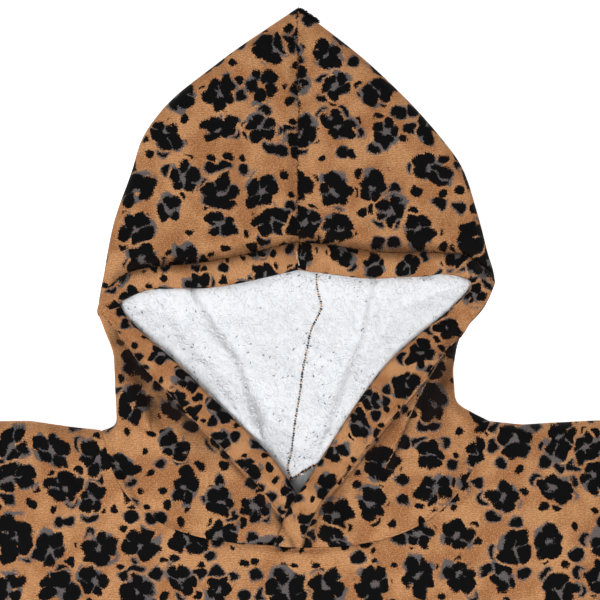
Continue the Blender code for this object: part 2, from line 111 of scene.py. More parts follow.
HOOD_LEFT = (
    (-46.0, -165.8, 0.0, 20.0, -94.6, -38.6, -28.4, 20.0, 0.97),
    (-36.0, -162.8, 1.0, 12.5, -82.0, -34.5, -23.5, 20.0, 0.97),
    (-28.0, -160.0, 2.0, 8.0, -75.0, -32.0, -19.0, 20.5, 0.97),
    (-8.0, -154.5, 6.0, -5.0, -52.0, -26.0, -15.0, 24.5, 0.97),
    (14.0, -154.0, 17.0, -22.0, -26.0, -18.0, -11.0, 33.0, 0.97),
    (38.0, -154.8, 33.0, -50.2, 3.7, -11.0, -7.0, 35.5, 0.97),
    (62.0, -155.5, 50.0, -78.2, 30.6, -6.0, -4.0, 36.0, 0.97),
    (82.0, -157.5, 68.0, -106.3, 58.7, -2.0, -2.0, 37.0, 0.97),
    (100.0, -165.2, 88.0, -133.0, 83.0, 0.0, 0.0, 27.0, 0.97),
    (116.0, -169.2, 105.0, -152.2, 107.0, 0.0, 0.0, 18.0, 0.97),
    (127.0, -167.6, 117.0, -144.5, 113.6, 0.0, 0.0, 20.5, 0.97),
    (140.0, -164.6, 132.0, -134.0, 119.0, 0.0, 0.0, 21.0, 0.97),
    (180.0, -156.0, 176.0, -108.0, 122.7, 0.0, 0.0, 21.0, 0.97),
    (222.0, -141.0, 219.0, -82.0, 123.2, 0.0, 0.0, 21.0, 0.97),
    (244.0, -131.5, 248.0, -68.0, 124.6, 0.0, 0.0, 21.0, 0.97),
    (266.0, -117.5, 268.5, -54.0, 127.0, 0.0, 0.0, 21.0, 0.97),
    (306.0, -68.0, 311.0, -27.0, 133.0, 0.0, 0.0, 21.0, 0.97),
    (TIP_Y - FOLD_RADIUS, 0.0, TIP_Y, 0.0, 139.0, 0.0, 0.0, 22.0, 0.97),
)

# Where the right side of the hood lies over the left one
LAP_LIFT = 9.4
LAP_LIFT_AT_SEAM = 5.2
LAP_LEFT_EDGE = (-1.8, -59.8)
LAP_LEFT_SLOPE = 0.62
LAP_REACH = 42.0
LAP_RAMP = 25.0
LAP_SEAM_FROM_Y = -86.0
LAP_SEAM_RAMP = 10.0
LAP_BODY_SHARE = 0.8
LAP_BODY_RAMP = 24.0
LAP_BODY_FROM_Y = -122.0
LAP_BODY_SPREAD = 20.0

SHOULDER_RIGHT = ((162.4, 7.7), (190.0, 4.8), (215.0, 6.4), (257.0, 8.5), (340.0, 7.5), (430.0, 2.0))
SHOULDER_LEFT = ((-165.8, 0.0), (-190.0, 2.6), (-228.0, 8.0), (-257.0, 7.6), (-340.0, 7.0), (-430.0, 2.0))
SIDE = ((-868.0, 452.0), (-700.0, 447.0), (-560.0, 440.0), (-400.0, 430.0), (-262.0, 425.0), (2.0, 430.0))
SLEEVE = (
    (430.0, 2.0, 425.0, -262.0),
    (500.0, -8.0, 486.0, -250.0),
    (590.0, -30.0, 566.0, -244.0),
    (680.0, -58.0, 650.0, -244.0),
    (765.0, -86.0, 730.0, -250.0),
    (838.0, -110.0, 800.0, -262.0),
)

# Soft folds from x0, y0 to x1, y1, each with its width and height: a ridge, or a valley where the
# height is negative. The first ones are in the solids too
FOLDS = (
    (0.0, 195.0, 0.0, 265.0, 95.0, 7.5),
    (-112.0, 128.0, 112.0, 136.0, 20.0, 3.0),
    (0.0, 150.0, 0.0, 340.0, 7.0, -3.0),
    (-118.0, 62.0, -22.0, -38.0, 20.0, 3.0),
    (92.0, 62.0, 22.0, -30.0, 22.0, 4.0),
    (116.0, 58.0, 84.0, -8.0, 9.0, 3.5),
    (-128.0, 52.0, -122.0, 24.0, 9.0, -3.0),
    (-148.0, -48.0, -62.0, -108.0, 14.0, 2.5),
    (140.0, -52.0, 60.0, -110.0, 14.0, 2.5),
    (-62.0, 160.0, -92.0, 262.0, 14.0, 2.5),
    (84.0, 158.0, 104.0, 216.0, 13.0, -2.5),
    (-250.0, -50.0, -130.0, -300.0, 42.0, 5.0),
    (262.0, -70.0, 150.0, -330.0, 40.0, 5.5),
    (-60.0, -360.0, -105.0, -800.0, 46.0, 7.0),
    (120.0, -430.0, 92.0, -830.0, 42.0, 7.0),
    (-280.0, -430.0, -305.0, -820.0, 40.0, 6.5),
    (286.0, -390.0, 325.0, -830.0, 42.0, 7.5),
    (0.0, -190.0, 18.0, -400.0, 62.0, 4.0),
    (398.0, -226.0, 300.0, -140.0, 22.0, 7.0),
    (-398.0, -226.0, -290.0, -150.0, 24.0, 7.0),
    (400.0, -290.0, 318.0, -352.0, 20.0, 6.0),
    (-402.0, -285.0, -330.0, -372.0, 22.0, 6.0),
    (470.0, -196.0, 612.0, -112.0, 21.0, 7.0),
    (-468.0, -190.0, -598.0, -122.0, 23.0, 7.0),
    (560.0, -64.0, 700.0, -150.0, 19.0, 5.0),
    (-548.0, -70.0, -672.0, -172.0, 19.0, 5.5),
    (716.0, -112.0, 760.0, -206.0, 15.0, 4.5),
    (-716.0, -110.0, -742.0, -212.0, 16.0, 4.5),
    # From here on: small creases that only the scene has
    (-214.0, -18.0, -184.0, -44.0, 5.0, -1.6),
    (-206.0, -6.0, -180.0, -30.0, 8.0, 1.4),
    (178.0, 4.0, 198.0, -14.0, 6.0, 1.6),
    (-150.0, 40.0, -128.0, 4.0, 7.0, 1.8),
    (-112.0, 12.0, -84.0, -42.0, 10.0, -1.4),
    (66.0, -36.0, 112.0, -4.0, 9.0, -1.3),
    (28.0, 168.0, 52.0, 250.0, 12.0, 1.3),
    (-30.0, 172.0, -22.0, 236.0, 11.0, -1.2),
    (120.0, 150.0, 138.0, 192.0, 8.0, 1.2),
    (-128.0, 158.0, -118.0, 214.0, 9.0, 1.3),
    (127.0, 50.0, 119.0, 22.0, 11.0, -3.6),
    (-149.0, 52.0, -126.0, 8.0, 8.0, 4.2),
    (-126.0, 8.0, -100.0, -22.0, 8.0, 2.6),
    (-100.0, -22.0, -70.0, -52.0, 9.0, 1.6),
)

# Crisp creases: like the folds, but sharp along their middle
CREASES = (
    (-136.0, 64.0, -117.0, 24.0, 8.0, -6.0),
    (-212.0, -16.0, -186.0, -42.0, 4.0, -1.5),
    (184.0, 6.0, 196.0, -10.0, 4.0, 1.2),
    (-88.0, -2.0, -60.0, -52.0, 8.0, 1.3),
    (122.0, -6.0, 96.0, -60.0, 9.0, 1.2),
)

CREASE_SOFTNESS = 0.02

# The back lining that shows in the open neck
BACK_LINING_HALF_WIDTH = 110.0
BACK_LINING_LENGTH = 78.0
BACK_LINING_CLOTH = 3.0
NECK_GAP = 0.2
NECK_LAP = 24.0

# Plan points (x, y) of the lining's centre seam, which wanders off the middle as it lies
LINING_SEAM = (
    (6.0, 348.0),
    (9.0, 250.0),
    (14.0, 180.0),
    (15.6, 138.0),
    (16.0, 122.0),
    (19.6, 104.0),
    (11.0, 85.0),
    (8.0, 71.0),
    (4.0, 50.0),
    (1.5, 32.0),
    (-3.0, 4.0),
    (-6.0, -20.0),
    (-8.6, -33.0),
    (-5.0, -41.0),
    (-4.0, -60.0),
)
LINING_SEAM_REACH = 110.0

# How far the neck seam of the linings is pushed up from the neck: plan x and the shift in y
NECK_SHIFT = (
    (-80.0, 0.0),
    (-30.0, 0.5),
    (-15.0, 1.5),
    (-5.0, 4.5),
    (4.0, 10.0),
    (14.5, 15.0),
    (26.0, 12.0),
    (50.0, 4.0),
    (80.0, 0.0),
)
NECK_SHIFT_REACH = 34.0

# A step in cloth that lies higher on one side of a line. side is +1 where that is to the left of the
# line as it runs. These are the soft steps in the lining, higher on their outer side
Step = namedtuple("Step", "line side height reach")
LINING_STEPS = (
    Step(
        ((-92.0, 124.0), (-80.0, 103.0), (-66.0, 80.0), (-52.0, 61.0), (-42.0, 36.0), (-34.0, 8.0)),
        -1, 5.6, 26.0,
    ),
    Step(((-112.0, 100.0), (-92.0, 72.0), (-72.0, 52.0), (-56.0, 24.0)), -1, 1.6, 14.0),
    Step(((66.0, 128.0), (60.0, 116.0), (54.0, 79.0), (42.0, 52.0), (35.0, 32.0), (24.6, 2.5)), 1, 6.4, 24.0),
    Step(((104.0, 122.0), (84.0, 92.0), (66.0, 70.0), (56.0, 44.0)), 1, 1.5, 14.0),
)

# Steps of the grids
ROW_STEP = 2.4
LINE_ROW_STEP = 9.0
FINE = 64
HEM_STEPS = 10
TOP_STEPS = 44
TURN_STEPS = 18
BACK_STEPS = 24
LINING_ROW_STEP = 1.9
LINING_TOP_STEPS = 20
LINING_TURN_STEPS = 12
LINING_FLOOR_STEPS = 96
SLEEVE_SPAN = 84.0
SLEEVE_STEP = 6.0
SLEEVE_ACROSS = 34
SLEEVE_EDGE_PLACES = (0.0, 0.3, 1.0, 2.2, 4.0, 6.5, 10.0)

# Where each cut lies on the printed cloth, so that no two pieces show the same spots
CUT_AT = {
    "hood_right": (400.0, 300.0),
    "hood_left": (0.0, 300.0),
    "hood_hem_right": (150.0, 905.0),
    "hood_hem_left": (788.0, 905.0),
    "body_front": (1300.0, 100.0),
    "body_back": (2500.0, 100.0),
    "sleeve_right": (300.0, 2800.0),
    "sleeve_left": (300.0, 2000.0),
}


def ease(value):
    """0 below 0, 1 above 1, and a smooth step between."""
    value = np.clip(value, 0.0, 1.0)
    return value * value * (3.0 - 2.0 * value)


def rounded(share):
    """The height of a quarter circle: 0 at 0, 1 at 1."""
    return np.sqrt(1.0 - (1.0 - share) ** 2)


def bowed(start, end, bow, share):
    """Places at shares of the way from start to end, on a line that bows out in its middle."""
    return start * (1 - share) + end * share + bow * 4 * share * (1 - share)


def lengths_along(points):
    """The length along a line from its first point to each of its points."""
    return np.concatenate([[0.0], np.cumsum(np.linalg.norm(np.diff(points, axis=0), axis=1))])


def points_at(places, marks, points):
    """Points of a line at places between the marks that its own points have."""
    return np.stack([np.interp(places, marks, column) for column in points.T], axis=1)


def spline_rows(table, step):
    """Close rows on one smooth curve through the table's rows."""
    rows = np.array(table, float)
    moves = np.diff(rows, axis=0)
    spans = np.maximum.reduce([
        np.abs(moves[:, 0]),
        np.hypot(moves[:, 1], moves[:, 2]),
        np.hypot(moves[:, 3], moves[:, 4]),
    ])
    return hermite(rows, spans, step)


def hermite(rows, spans, step):
    """Points a step apart on a smooth curve through rows that lie spans apart."""
    slopes = np.diff(rows, axis=0) / spans[:, None]
    before, after = spans[:-1, None], spans[1:, None]
    inner = (slopes[:-1] * after + slopes[1:] * before) / (before + after)
    tangents = np.vstack([slopes[:1], inner, slopes[-1:]])
    knots = np.concatenate([[0.0], np.cumsum(spans)])
    places = np.linspace(0.0, knots[-1], int(math.ceil(knots[-1] / step)) + 1)
    index = np.clip(np.searchsorted(knots, places, side="right") - 1, 0, len(spans) - 1)
    t = ((places - knots[index]) / spans[index])[:, None]
    span = spans[index][:, None]
    start, end = rows[index], rows[index + 1]
    return (
        start * (2 * t**3 - 3 * t**2 + 1)
        + tangents[index] * span * (t**3 - 2 * t**2 + t)
        + end * (3 * t**2 - 2 * t**3)
        + tangents[index + 1] * span * (t**3 - t**2)
    )


LATTICE = np.random.RandomState(7).uniform(-1.0, 1.0, (64, 64))


def soft_noise(x, y, scale, seed=0):
    """Smooth random height between about -1 and 1, with lumps about as wide as scale."""
    u, v = x / scale + 13.7 * seed + 900.0, y / scale + 7.3 * seed + 900.0
    i, j = np.floor(u).astype(int), np.floor(v).astype(int)
    a, b = ease(u - i), ease(v - j)
    i, j, n, m = i % 64, j % 64, (i + 1) % 64, (j + 1) % 64
    low = LATTICE[i, j] * (1 - a) + LATTICE[n, j] * a
    high = LATTICE[i, m] * (1 - a) + LATTICE[n, m] * a
    return low * (1 - b) + high * b


def segment_distance(x, y, x0, y0, x1, y1):
    """How far points lie from a line between two ends, in plan."""
    dx, dy = x1 - x0, y1 - y0
    along = np.clip(((x - x0) * dx + (y - y0) * dy) / (dx * dx + dy * dy), 0.0, 1.0)
    return np.hypot(x - x0 - along * dx, y - y0 - along * dy)


def line_distance(x, y, line):
    """How far points lie from a line through plan points."""
    near = np.full(np.shape(x), 1e9)
    for a, b in zip(line, line[1:]):
        near = np.minimum(near, segment_distance(x, y, *a, *b))
    return near


# Where the cloth on top steps down: it lies higher on one side of each line. The steps at the hem's
# stitched lines are added below
TOP_FOLDS = [
    Step(
        ((137.0, 80.0), (120.0, 60.0), (106.0, 35.0), (92.0, 6.0), (84.0, -14.0), (74.0, -32.0)),
        -1, 7.0, 17.0,
    ),
    Step(((-146.0, 66.0), (-134.0, 48.0), (-126.0, 28.0), (-124.0, 8.0)), -1, 3.4, 14.0),
]
STEP_FADES_AT_Y = 100.0
STEP_FADE = 26.0
STEP_STARTS_AT_Y = -84.0
STEP_START = 16.0
BROW_ABOVE_Y = 128.0
FOLD_PILE_BELOW_Y = 96.0
GROOVE_PILE_ABOVE_Y = 126.0


def side_of_line(x, y, line):
    """Signed distance from a line: above 0 to the left of it as it runs."""
    near, signed = np.full(np.shape(x), 1e9), np.zeros(np.shape(x))
    for a, b in zip(line, line[1:]):
        away = segment_distance(x, y, *a, *b)
        cross = (b[0] - a[0]) * (y - a[1]) - (b[1] - a[1]) * (x - a[0])
        closer = away < near
        signed = np.where(closer, np.sign(cross) * away, signed)
        near = np.minimum(near, away)
    return signed


# Narrow valleys along seams: plan points, width and depth, which is negative for a ridge. Filled in
# below, once the seams are known
VALLEYS = []


def top_height(x, y):
    """Height of the uppermost face of the cloth, before it turns down at an edge."""
    on_hood = ease((y - HOOD_RISE_FROM) / (HOOD_RISE_TO - HOOD_RISE_FROM))
    height = BODY_HEIGHT + (HOOD_HEIGHT - BODY_HEIGHT) * on_hood
    for *ends, width, rise in FOLDS:
        height = height + rise * np.exp(-((segment_distance(x, y, *ends) / width) ** 2))
    fade = ease((STEP_FADES_AT_Y - y) / STEP_FADE) * ease((y - STEP_STARTS_AT_Y) / STEP_START)
    for step in TOP_FOLDS:
        away = side_of_line(x, y, step.line) * step.side
        rise = ease((away + 1.0) / 2.6) * np.exp(-((away / step.reach) ** 2))
        height = height + step.height * rise * fade
    for *ends, width, rise in CREASES:
        away = segment_distance(x, y, *ends)
        height = height + rise * np.exp(-np.sqrt((away / width) ** 2 + CREASE_SOFTNESS))
    uneven = 1.0 + 0.35 * soft_noise(x, y, 11.0, 8)
    for line, width, depth in VALLEYS:
        height = height - uneven * depth * np.exp(-((line_distance(x, y, line) / width) ** 2))
    height = height + 0.55 * soft_noise(x, y, 46.0, 1) + 0.35 * soft_noise(x, y, 19.0, 2)
    above = height - LEAST_OVER_LINING * on_hood
    eased = height - above + EASED_OVER * np.exp(above / EASED_OVER - 1.0)
    return np.where(above < EASED_OVER, eased, height)


def lap_lift(x, y):
    """How far the right side of the hood is raised where it lies over the left one."""
    left_edge = LAP_LEFT_EDGE[0] + (LAP_LEFT_EDGE[1] - y) * LAP_LEFT_SLOPE
    over = ease((left_edge + LAP_REACH - x) / LAP_RAMP)
    to_seam = ease((LAP_SEAM_FROM_Y - y) / LAP_SEAM_RAMP)
    return over * (LAP_LIFT + (LAP_LIFT_AT_SEAM - LAP_LIFT) * to_seam)


def inward_normals(sections, side):
    """Plan direction from the side fold into the hood, at each row. It turns to -Y at the tip."""
    fold = np.stack([sections.fold_x, sections.fold_y], axis=1)
    along = np.gradient(fold, axis=0)
    normals = np.stack([-along[:, 1], along[:, 0]], axis=1) * side
    normals = normals / np.linalg.norm(normals, axis=1)[:, None]
    near_tip = ease((fold[:, 1] - (TIP_Y - TIP_BLEND)) / TIP_BLEND)[:, None]
    normals = normals * (1 - near_tip) + np.array([0.0, -1.0]) * near_tip
    return normals / np.linalg.norm(normals, axis=1)[:, None]


def seam_wander(y):
    """How far the hood's centre seam strays from the middle."""
    stray = 0.9 * soft_noise(0 * y, y, 11.0, 9) + 0.5 * soft_noise(0 * y, y, 4.0, 4)
    return stray * ease((y - WANDER_FROM_Y) / 20.0)


def section_ends(s, normals):
    """Of every section: the middle of its fold, the opening's edge and how far it bows."""
    centre = np.stack([s.fold_x, s.fold_y], axis=1) + normals * FOLD_RADIUS
    return centre, np.stack([s.edge_x, s.edge_y], axis=1), np.stack([s.bow_x, s.bow_y], axis=1)


class HoodSide:
    """One side of the hood: its close sections and the paths that the cloth takes on them."""

    def __init__(self, table, side, step):
        self.side = side
        rows = spline_rows(table, step)
        self.sections = HoodSection(*rows.T)
        self.normals = inward_normals(self.sections, side)
        spread = np.interp(self.sections.seam_y, [row[0] for row in table], np.arange(len(table)))
        self.sags = BACK_NECK_SAG * np.maximum(0.0, 1.0 - spread / 3.0)
        self.faces = {}
        self.reach = self.lengths(self.path(0.0))

    def path(self, depth):
        """Close points of every section, depth below the outer face, from edge to seam."""
        if depth in self.faces:
            return self.faces[depth]
        s, side = self.sections, self.side
        normal = self.normals[:, None, :]
        centre, edge, bow = section_ends(s, self.normals)
        seam = np.stack([np.zeros_like(s.seam_y), s.seam_y], axis=1)
        half = (top_height(centre[:, 0], centre[:, 1]) / 2)[:, None]
        f = np.linspace(1.0, 0.0, FINE + 1)[None, :, None]
        top = bowed(centre[:, None], edge[:, None], bow[:, None], f)
        lift = lap_lift(top[..., 0], top[..., 1]) if side > 0 else 0.0
        top = np.dstack([top, top_height(top[..., 0], top[..., 1]) + lift - depth])
        angle = np.linspace(math.pi, 0.0, FINE + 1)[1:][None, :]
        turn = centre[:, None] - normal * ((FOLD_RADIUS - depth) * np.sin(angle))[..., None]
        turn = np.dstack([turn, half - (half - depth) * np.cos(angle)])
        f = np.linspace(1.0, 0.0, FINE + 1)[1:][None, :, None]
        back = seam[:, None] * (1 - f) + centre[:, None] * f
        back[..., 1] += self.sags[:, None] * 4 * (f * (1 - f))[..., 0]
        back = np.dstack([back, np.full(back.shape[:2], depth)])
        whole = np.concatenate([top, turn, back], axis=1)
        wander = seam_wander(whole[..., 1]) * (1.0 - ease(np.abs(whole[..., 0]) / 12.0))
        whole[..., 0] += side * PANEL_GAP / 2 + wander
        self.faces[depth] = whole
        return whole

    @staticmethod
    def lengths(path):
        """The length along each section from its first point to each of its points."""
        steps = np.linalg.norm(np.diff(path, axis=1), axis=2)
        return np.concatenate([np.zeros((len(path), 1)), np.cumsum(steps, axis=1)], axis=1)

    def columns(self, steps, lining=False):
        """Lengths along each section where its points stand, counted on the outer face.

        steps says how many lie in each part: the hem, the top, the turn and the back. A lining has no hem.
        """
        made = []
        for k, reach in enumerate(self.reach):
            turn_start, turn_end, hem = reach[FINE], reach[2 * FINE], self.sections.hem[k]
            if lining:
                start = max(LINING_BACK, (1.0 - self.sections.lined[k]) * turn_start)
                stops = [start, max(turn_start, start + 8.0), turn_end, reach[-1]]
            else:
                stops = [0.0, hem, max(turn_start, hem + 4.0), turn_end, reach[-1]]
            parts = [np.linspace(a, b, n + 1)[1:] for a, b, n in zip(stops, stops[1:], steps)]
            made.append(np.concatenate([stops[:1]] + parts))
        return np.array(made)

    def grid(self, depth, columns):
        """Points of the face at that depth, at the given lengths along each section."""
        path = self.path(depth)
        count = np.arange(path.shape[1])
        made = []
        for k in range(len(path)):
            made.append(points_at(np.interp(columns[k], self.reach[k], count), count, path[k]))
        return np.array(made)

    def flat(self, columns):
        """Where each point lies on the flat cut, in millimetres, so that the print runs on it."""
        path = self.path(0.0)
        count = np.arange(path.shape[1])
        made = []
        for k in range(len(path)):
            plan = points_at(np.interp(columns[k], self.reach[k], count), count, path[k, :, :2])
            past = np.clip(columns[k] - self.reach[k][FINE], 0.0, None)[:, None]
            start = path[k, FINE, :2]
            turned = start - self.normals[k] * past
            made.append(np.where(past > 0.0, turned, plan))
        return np.array(made)


# Now that the hood's sections are known: the stitched lines of its hem and its neck seam
def stitched_line(table, side):
    """Plan points of the stitches beside the hem's crease, found along the bowed sections of one side."""
    s = HoodSection(*spline_rows(table, LINE_ROW_STEP).T)
    centre, edge, bow = section_ends(s, inward_normals(s, side))
    f = np.linspace(1.0, 0.0, FINE + 1)[:, None]
    points = []
    for k, hem in enumerate(s.hem):
        top = bowed(centre[k], edge[k], bow[k], f)
        reach = lengths_along(top)
        points.append(tuple(np.interp(hem + STITCHES_FROM_CREASE, reach, column) for column in top.T))
    return points


def edge_points(table):
    """Plan points of the opening's edge on one side, from below to the middle of the brow."""
    s = HoodSection(*spline_rows(table, LINE_ROW_STEP).T)
    return list(zip(s.edge_x, s.edge_y))


OPENING_RIGHT, OPENING_LEFT = edge_points(HOOD_RIGHT[3:]), edge_points(HOOD_LEFT[3:])


def neck_points(table, side):
    """Plan points of the front of the neck seam."""
    s = HoodSection(*table[0])
    fold, edge = np.array([s.fold_x, s.fold_y]), np.array([s.edge_x, s.edge_y])
    centre = fold - np.array([side * FOLD_RADIUS, 2.0])
    points = bowed(centre, edge, np.array([s.bow_x, s.bow_y]), np.linspace(0.0, 1.0, 24)[:, None])
    return [tuple(p) for p in points]


STITCHED_RIGHT, STITCHED_LEFT = stitched_line(HOOD_RIGHT, 1), stitched_line(HOOD_LEFT, -1)
TOP_FOLDS += [
    Step([p for p in STITCHED_RIGHT if p[1] < STEP_FADES_AT_Y], -1, -5.6, 21.0),
    Step([p for p in STITCHED_LEFT if p[1] < STEP_FADES_AT_Y], 1, -5.6, 21.0),
]
BROW = [p for p in STITCHED_RIGHT + STITCHED_LEFT[::-1] if p[1] > BROW_ABOVE_Y]
VALLEYS += [
    (STITCHED_RIGHT, 3.0, 2.6),
    (STITCHED_LEFT, 3.0, 2.6),
    (BROW, 5.0, 4.2),
    ([(x, y + 13.0) for x, y in BROW], 9.0, -2.2),
    (((0.0, 140.0), (0.0, 352.0)), 6.5, 3.4),
    (neck_points(HOOD_RIGHT, 1), 4.4, 4.0),
    (neck_points(HOOD_LEFT, -1), 4.4, 4.0),
]


def edge_lines():
    """Plan lines where the cloth turns down: shoulders, sleeves and side seams, on both sides."""
    lines = []
    side_seam = list(SIDE[:-1])[::-1]
    for side, shoulder in ((1, SHOULDER_RIGHT), (-1, SHOULDER_LEFT)):
        top = [(side * row[0], row[1]) for row in SLEEVE]
        under = [(side * row[2], row[3]) for row in SLEEVE]
        lines.append(list(shoulder) + top[1:])
        lines.append(under[::-1] + [(side * width, y) for y, width in side_seam[1:]])
    return lines


EDGE_LINES = edge_lines()


def turned_down(x, y):
    """1 away from the garment's closed edges, falling as a quarter circle to 0 on them."""
    near = np.full(np.shape(x), 1e9)
    for line in EDGE_LINES:
        near = np.minimum(near, line_distance(x, y, line))
    return rounded(np.minimum(near / EDGE_RADIUS, 1.0))


def front_outer(x, y):
    """Height of the front of the body. At the neck it rises to meet the lapped hood."""
    rim = BODY_CLOTH + SEAM_GAP + RIM
    from_left = ease((x + NECK_LAP + LAP_BODY_SPREAD) / LAP_BODY_RAMP)
    across = from_left * ease((LAP_REACH + LAP_BODY_SPREAD - x) / LAP_RAMP)
    lapped = across * ease((y - LAP_BODY_FROM_Y) / LAP_BODY_RAMP)
    return rim + (top_height(x, y) - rim) * turned_down(x, y) + LAP_LIFT_AT_SEAM * LAP_BODY_SHARE * lapped


def half_width(y):
    """Half the width of the body."""
    return np.interp(y, [p[0] for p in SIDE], [p[1] for p in SIDE])


def shoulder_y(x):
    """Where the shoulder's edge lies."""
    points = SHOULDER_RIGHT if x > 0 else SHOULDER_LEFT[::-1]
    return float(np.interp(x, [p[0] for p in points], [p[1] for p in points]))


def resample(points, step):
    """Points about a step apart along a line."""
    points = np.array(points, float)
    reach = lengths_along(points)
    places = np.linspace(0.0, reach[-1], max(2, int(round(reach[-1] / step)) + 1))
    return points_at(places, reach, points)


def neckline(hood, on_top):
    """Plan points of the hood's neck section, from the shoulder to the centre, moved off it."""
    path = hood.path(0.0)[0][:, :2]
    widest = FINE + FINE // 2
    path = path[: widest + 1][::-1] if on_top else path[widest:]
    path = resample(path, 3.0)
    along = np.gradient(path, axis=0)
    along /= np.linalg.norm(along, axis=1)[:, None]
    away = np.stack([along[:, 1], -along[:, 0]], axis=1) * -hood.side
    return path + away * NECK_GAP


def top_edge(hoods, on_top, step):
    """Plan points of a body panel's top edge, from the left armhole to the right one."""
    necks = {side: neckline(hoods[side], on_top) for side in (-1, 1)}
    lapped = NECK_LAP if on_top else 3.0
    low = min(p[1] for neck in necks.values() for p in neck if abs(p[0]) < lapped) - 0.2
    halves = []
    for side in (-1, 1):
        neck = [tuple(p) for p in necks[side] if p[0] * side > lapped]
        if on_top:
            neck.append((side * NECK_LAP / 2, low))
        neck.append((0.0, low))
        start = neck[0][0] + side * 0.1
        outer = np.linspace(side * half_width(0.0), start, 90)
        line = [(x, shoulder_y(x)) for x in outer] + neck
        halves.append(resample(line, step))
    left, right = halves
    return np.vstack([left[:-1], right[::-1]])


def body_grid(top, insets, lower_rows, height):
    """A grid of points on the front or the back of the body: rows from the hem to the top."""
    span = top[:, 0] / half_width(top[:, 1])
    evened = np.sign(span) * np.abs(span) ** 0.92
    hem = HEM_Y + HEM_CORNER_RISE * span**2
    grid = []
    for k in range(lower_rows):
        y = hem + (UNDERARM_Y - hem) * k / lower_rows
        grid.append(np.stack([evened * half_width(y), y], axis=1))
    for inset in (None,) + tuple(insets):
        y = np.full(len(top), UNDERARM_Y) if inset is None else top[:, 1] - inset
        share = (y - UNDERARM_Y) / (top[:, 1] - UNDERARM_Y)
        grid.append(np.stack([(evened * (1 - share) + span * share) * half_width(y), y], axis=1))
    plan = np.array(grid)
    return np.dstack([plan, height(plan[..., 0], plan[..., 1])])


def sleeve_grid(side, outer):
    """A grid of points round a sleeve, from the underarm seam over the top fold and back to it."""
    rows = hermite(np.array(SLEEVE), np.full(len(SLEEVE) - 1, SLEEVE_SPAN), SLEEVE_STEP)
    inset = 0.0 if outer else BODY_CLOTH
    ends = np.array(SLEEVE_EDGE_PLACES)
    grid, flat = [], []
    travel = 0.0
    for k, (top_x, top_y, under_x, under_y) in enumerate(rows):
        if k:
            travel += np.linalg.norm(rows[k][:2] - rows[k - 1][:2])
        start = SEAM_GAP if k == 0 else 0.0
        top = np.array([side * (top_x + start), top_y])
        under = np.array([side * (under_x + start), under_y])
        length = np.linalg.norm(top - under)
        middle = np.linspace(ends[-1], length - ends[-1], SLEEVE_ACROSS)[1:-1]
        across = np.concatenate([ends, middle, (length - ends)[::-1]])
        line, marks = [], []
        for on_top in (True, False):
            q = across[::-1] if on_top else across[1:]
            plan = top + (under - top) * ((inset + q * (length - 2 * inset) / length) / length)[:, None]
            turned = rounded(np.minimum(np.minimum(q, length - q) / EDGE_RADIUS, 1.0))
            at = top + (under - top) * (q / length)[:, None]
            full = top_height(at[:, 0], at[:, 1])
            middle_z = BODY_HEIGHT / 2
            slit = np.where(length - q < 1e-6, SEAM_GAP / 2, 0.0)
            if on_top:
                z = middle_z + slit + (full - inset - middle_z) * turned
            else:
                z = middle_z - slit - (middle_z - inset) * turned
            line.append(np.column_stack([plan, z]))
            marks.append(np.column_stack([np.full(len(q), travel), -q if on_top else q]))
        grid.append(np.vstack(line))
        flat.append(np.vstack(marks))
    return np.array(grid), np.array(flat)


def to_frame(points):
    """Points in the part's frame, in metres."""
    made = np.array(points, float) * MM
    made[..., 1] -= ORIGIN_Y * MM
    return made


# Meshes
PIECES = bpy.data.collections.new("cloth")
bpy.context.scene.collection.children.link(PIECES)


def make_piece(name, points, faces, marks, material):
    """A closed mesh with its flat cut as UV map."""
    mesh = bpy.data.meshes.new(name)
    points = to_frame(points)
    corners = points[[f[:3] for f in faces]]
    volume = np.einsum("ij,ij->i", corners[:, 0], np.cross(corners[:, 1], corners[:, 2])).sum()
    if volume < 0:
        faces = [tuple(f)[::-1] for f in faces]
    mesh.from_pydata([tuple(p) for p in points], [], [tuple(f) for f in faces])
    layer = mesh.uv_layers.new(name="cut")
    index = np.empty(len(mesh.loops), dtype=np.int64)
    mesh.loops.foreach_get("vertex_index", index)
    layer.data.foreach_set("uv", (np.array(marks, float)[index] * MM).astype(np.float32).ravel())
    mesh.materials.append(material)
    mesh.shade_smooth()
    made = bpy.data.objects.new(name, mesh)
    PIECES.objects.link(made)
    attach(made, "root")
    return made


def grid_faces(rows, columns, start=0, closed=False):
    """The four-sided faces of a grid of points. closed joins its last column to its first."""
    k = np.arange(rows - 1)[:, None] * columns + np.arange(columns - 1)[None, :] + start
    quads = np.stack([k, k + 1, k + 1 + columns, k + columns], axis=-1).reshape(-1, 4)
    if closed:
        a = np.arange(rows - 1) * columns + columns - 1 + start
        wrap = np.stack([a, a - columns + 1, a + 1, a + columns], axis=-1)
        quads = np.vstack([quads, wrap])
    return quads


def shell(name, outer, inner, flat, material):
    """A piece of cloth: two grids of points and the rim between them."""
    rows, columns = outer.shape[:2]
    count = rows * columns
    over = grid_faces(rows, columns)
    under = grid_faces(rows, columns, count)[:, ::-1]
    border = list(range(columns))
    border += [r * columns + columns - 1 for r in range(1, rows)]
    border += [(rows - 1) * columns + c for c in range(columns - 2, -1, -1)]
    border += [r * columns for r in range(rows - 2, 0, -1)]
    rim = [(b, a, a + count, b + count) for a, b in zip(border, border[1:] + border[:1])]
    points = np.vstack([outer.reshape(-1, 3), inner.reshape(-1, 3)])
    marks = np.vstack([flat.reshape(-1, 2)] * 2)
    faces = [tuple(int(i) for i in f) for f in np.vstack([over, under, np.array(rim)])]
    return make_piece(name, points, faces, marks, material)


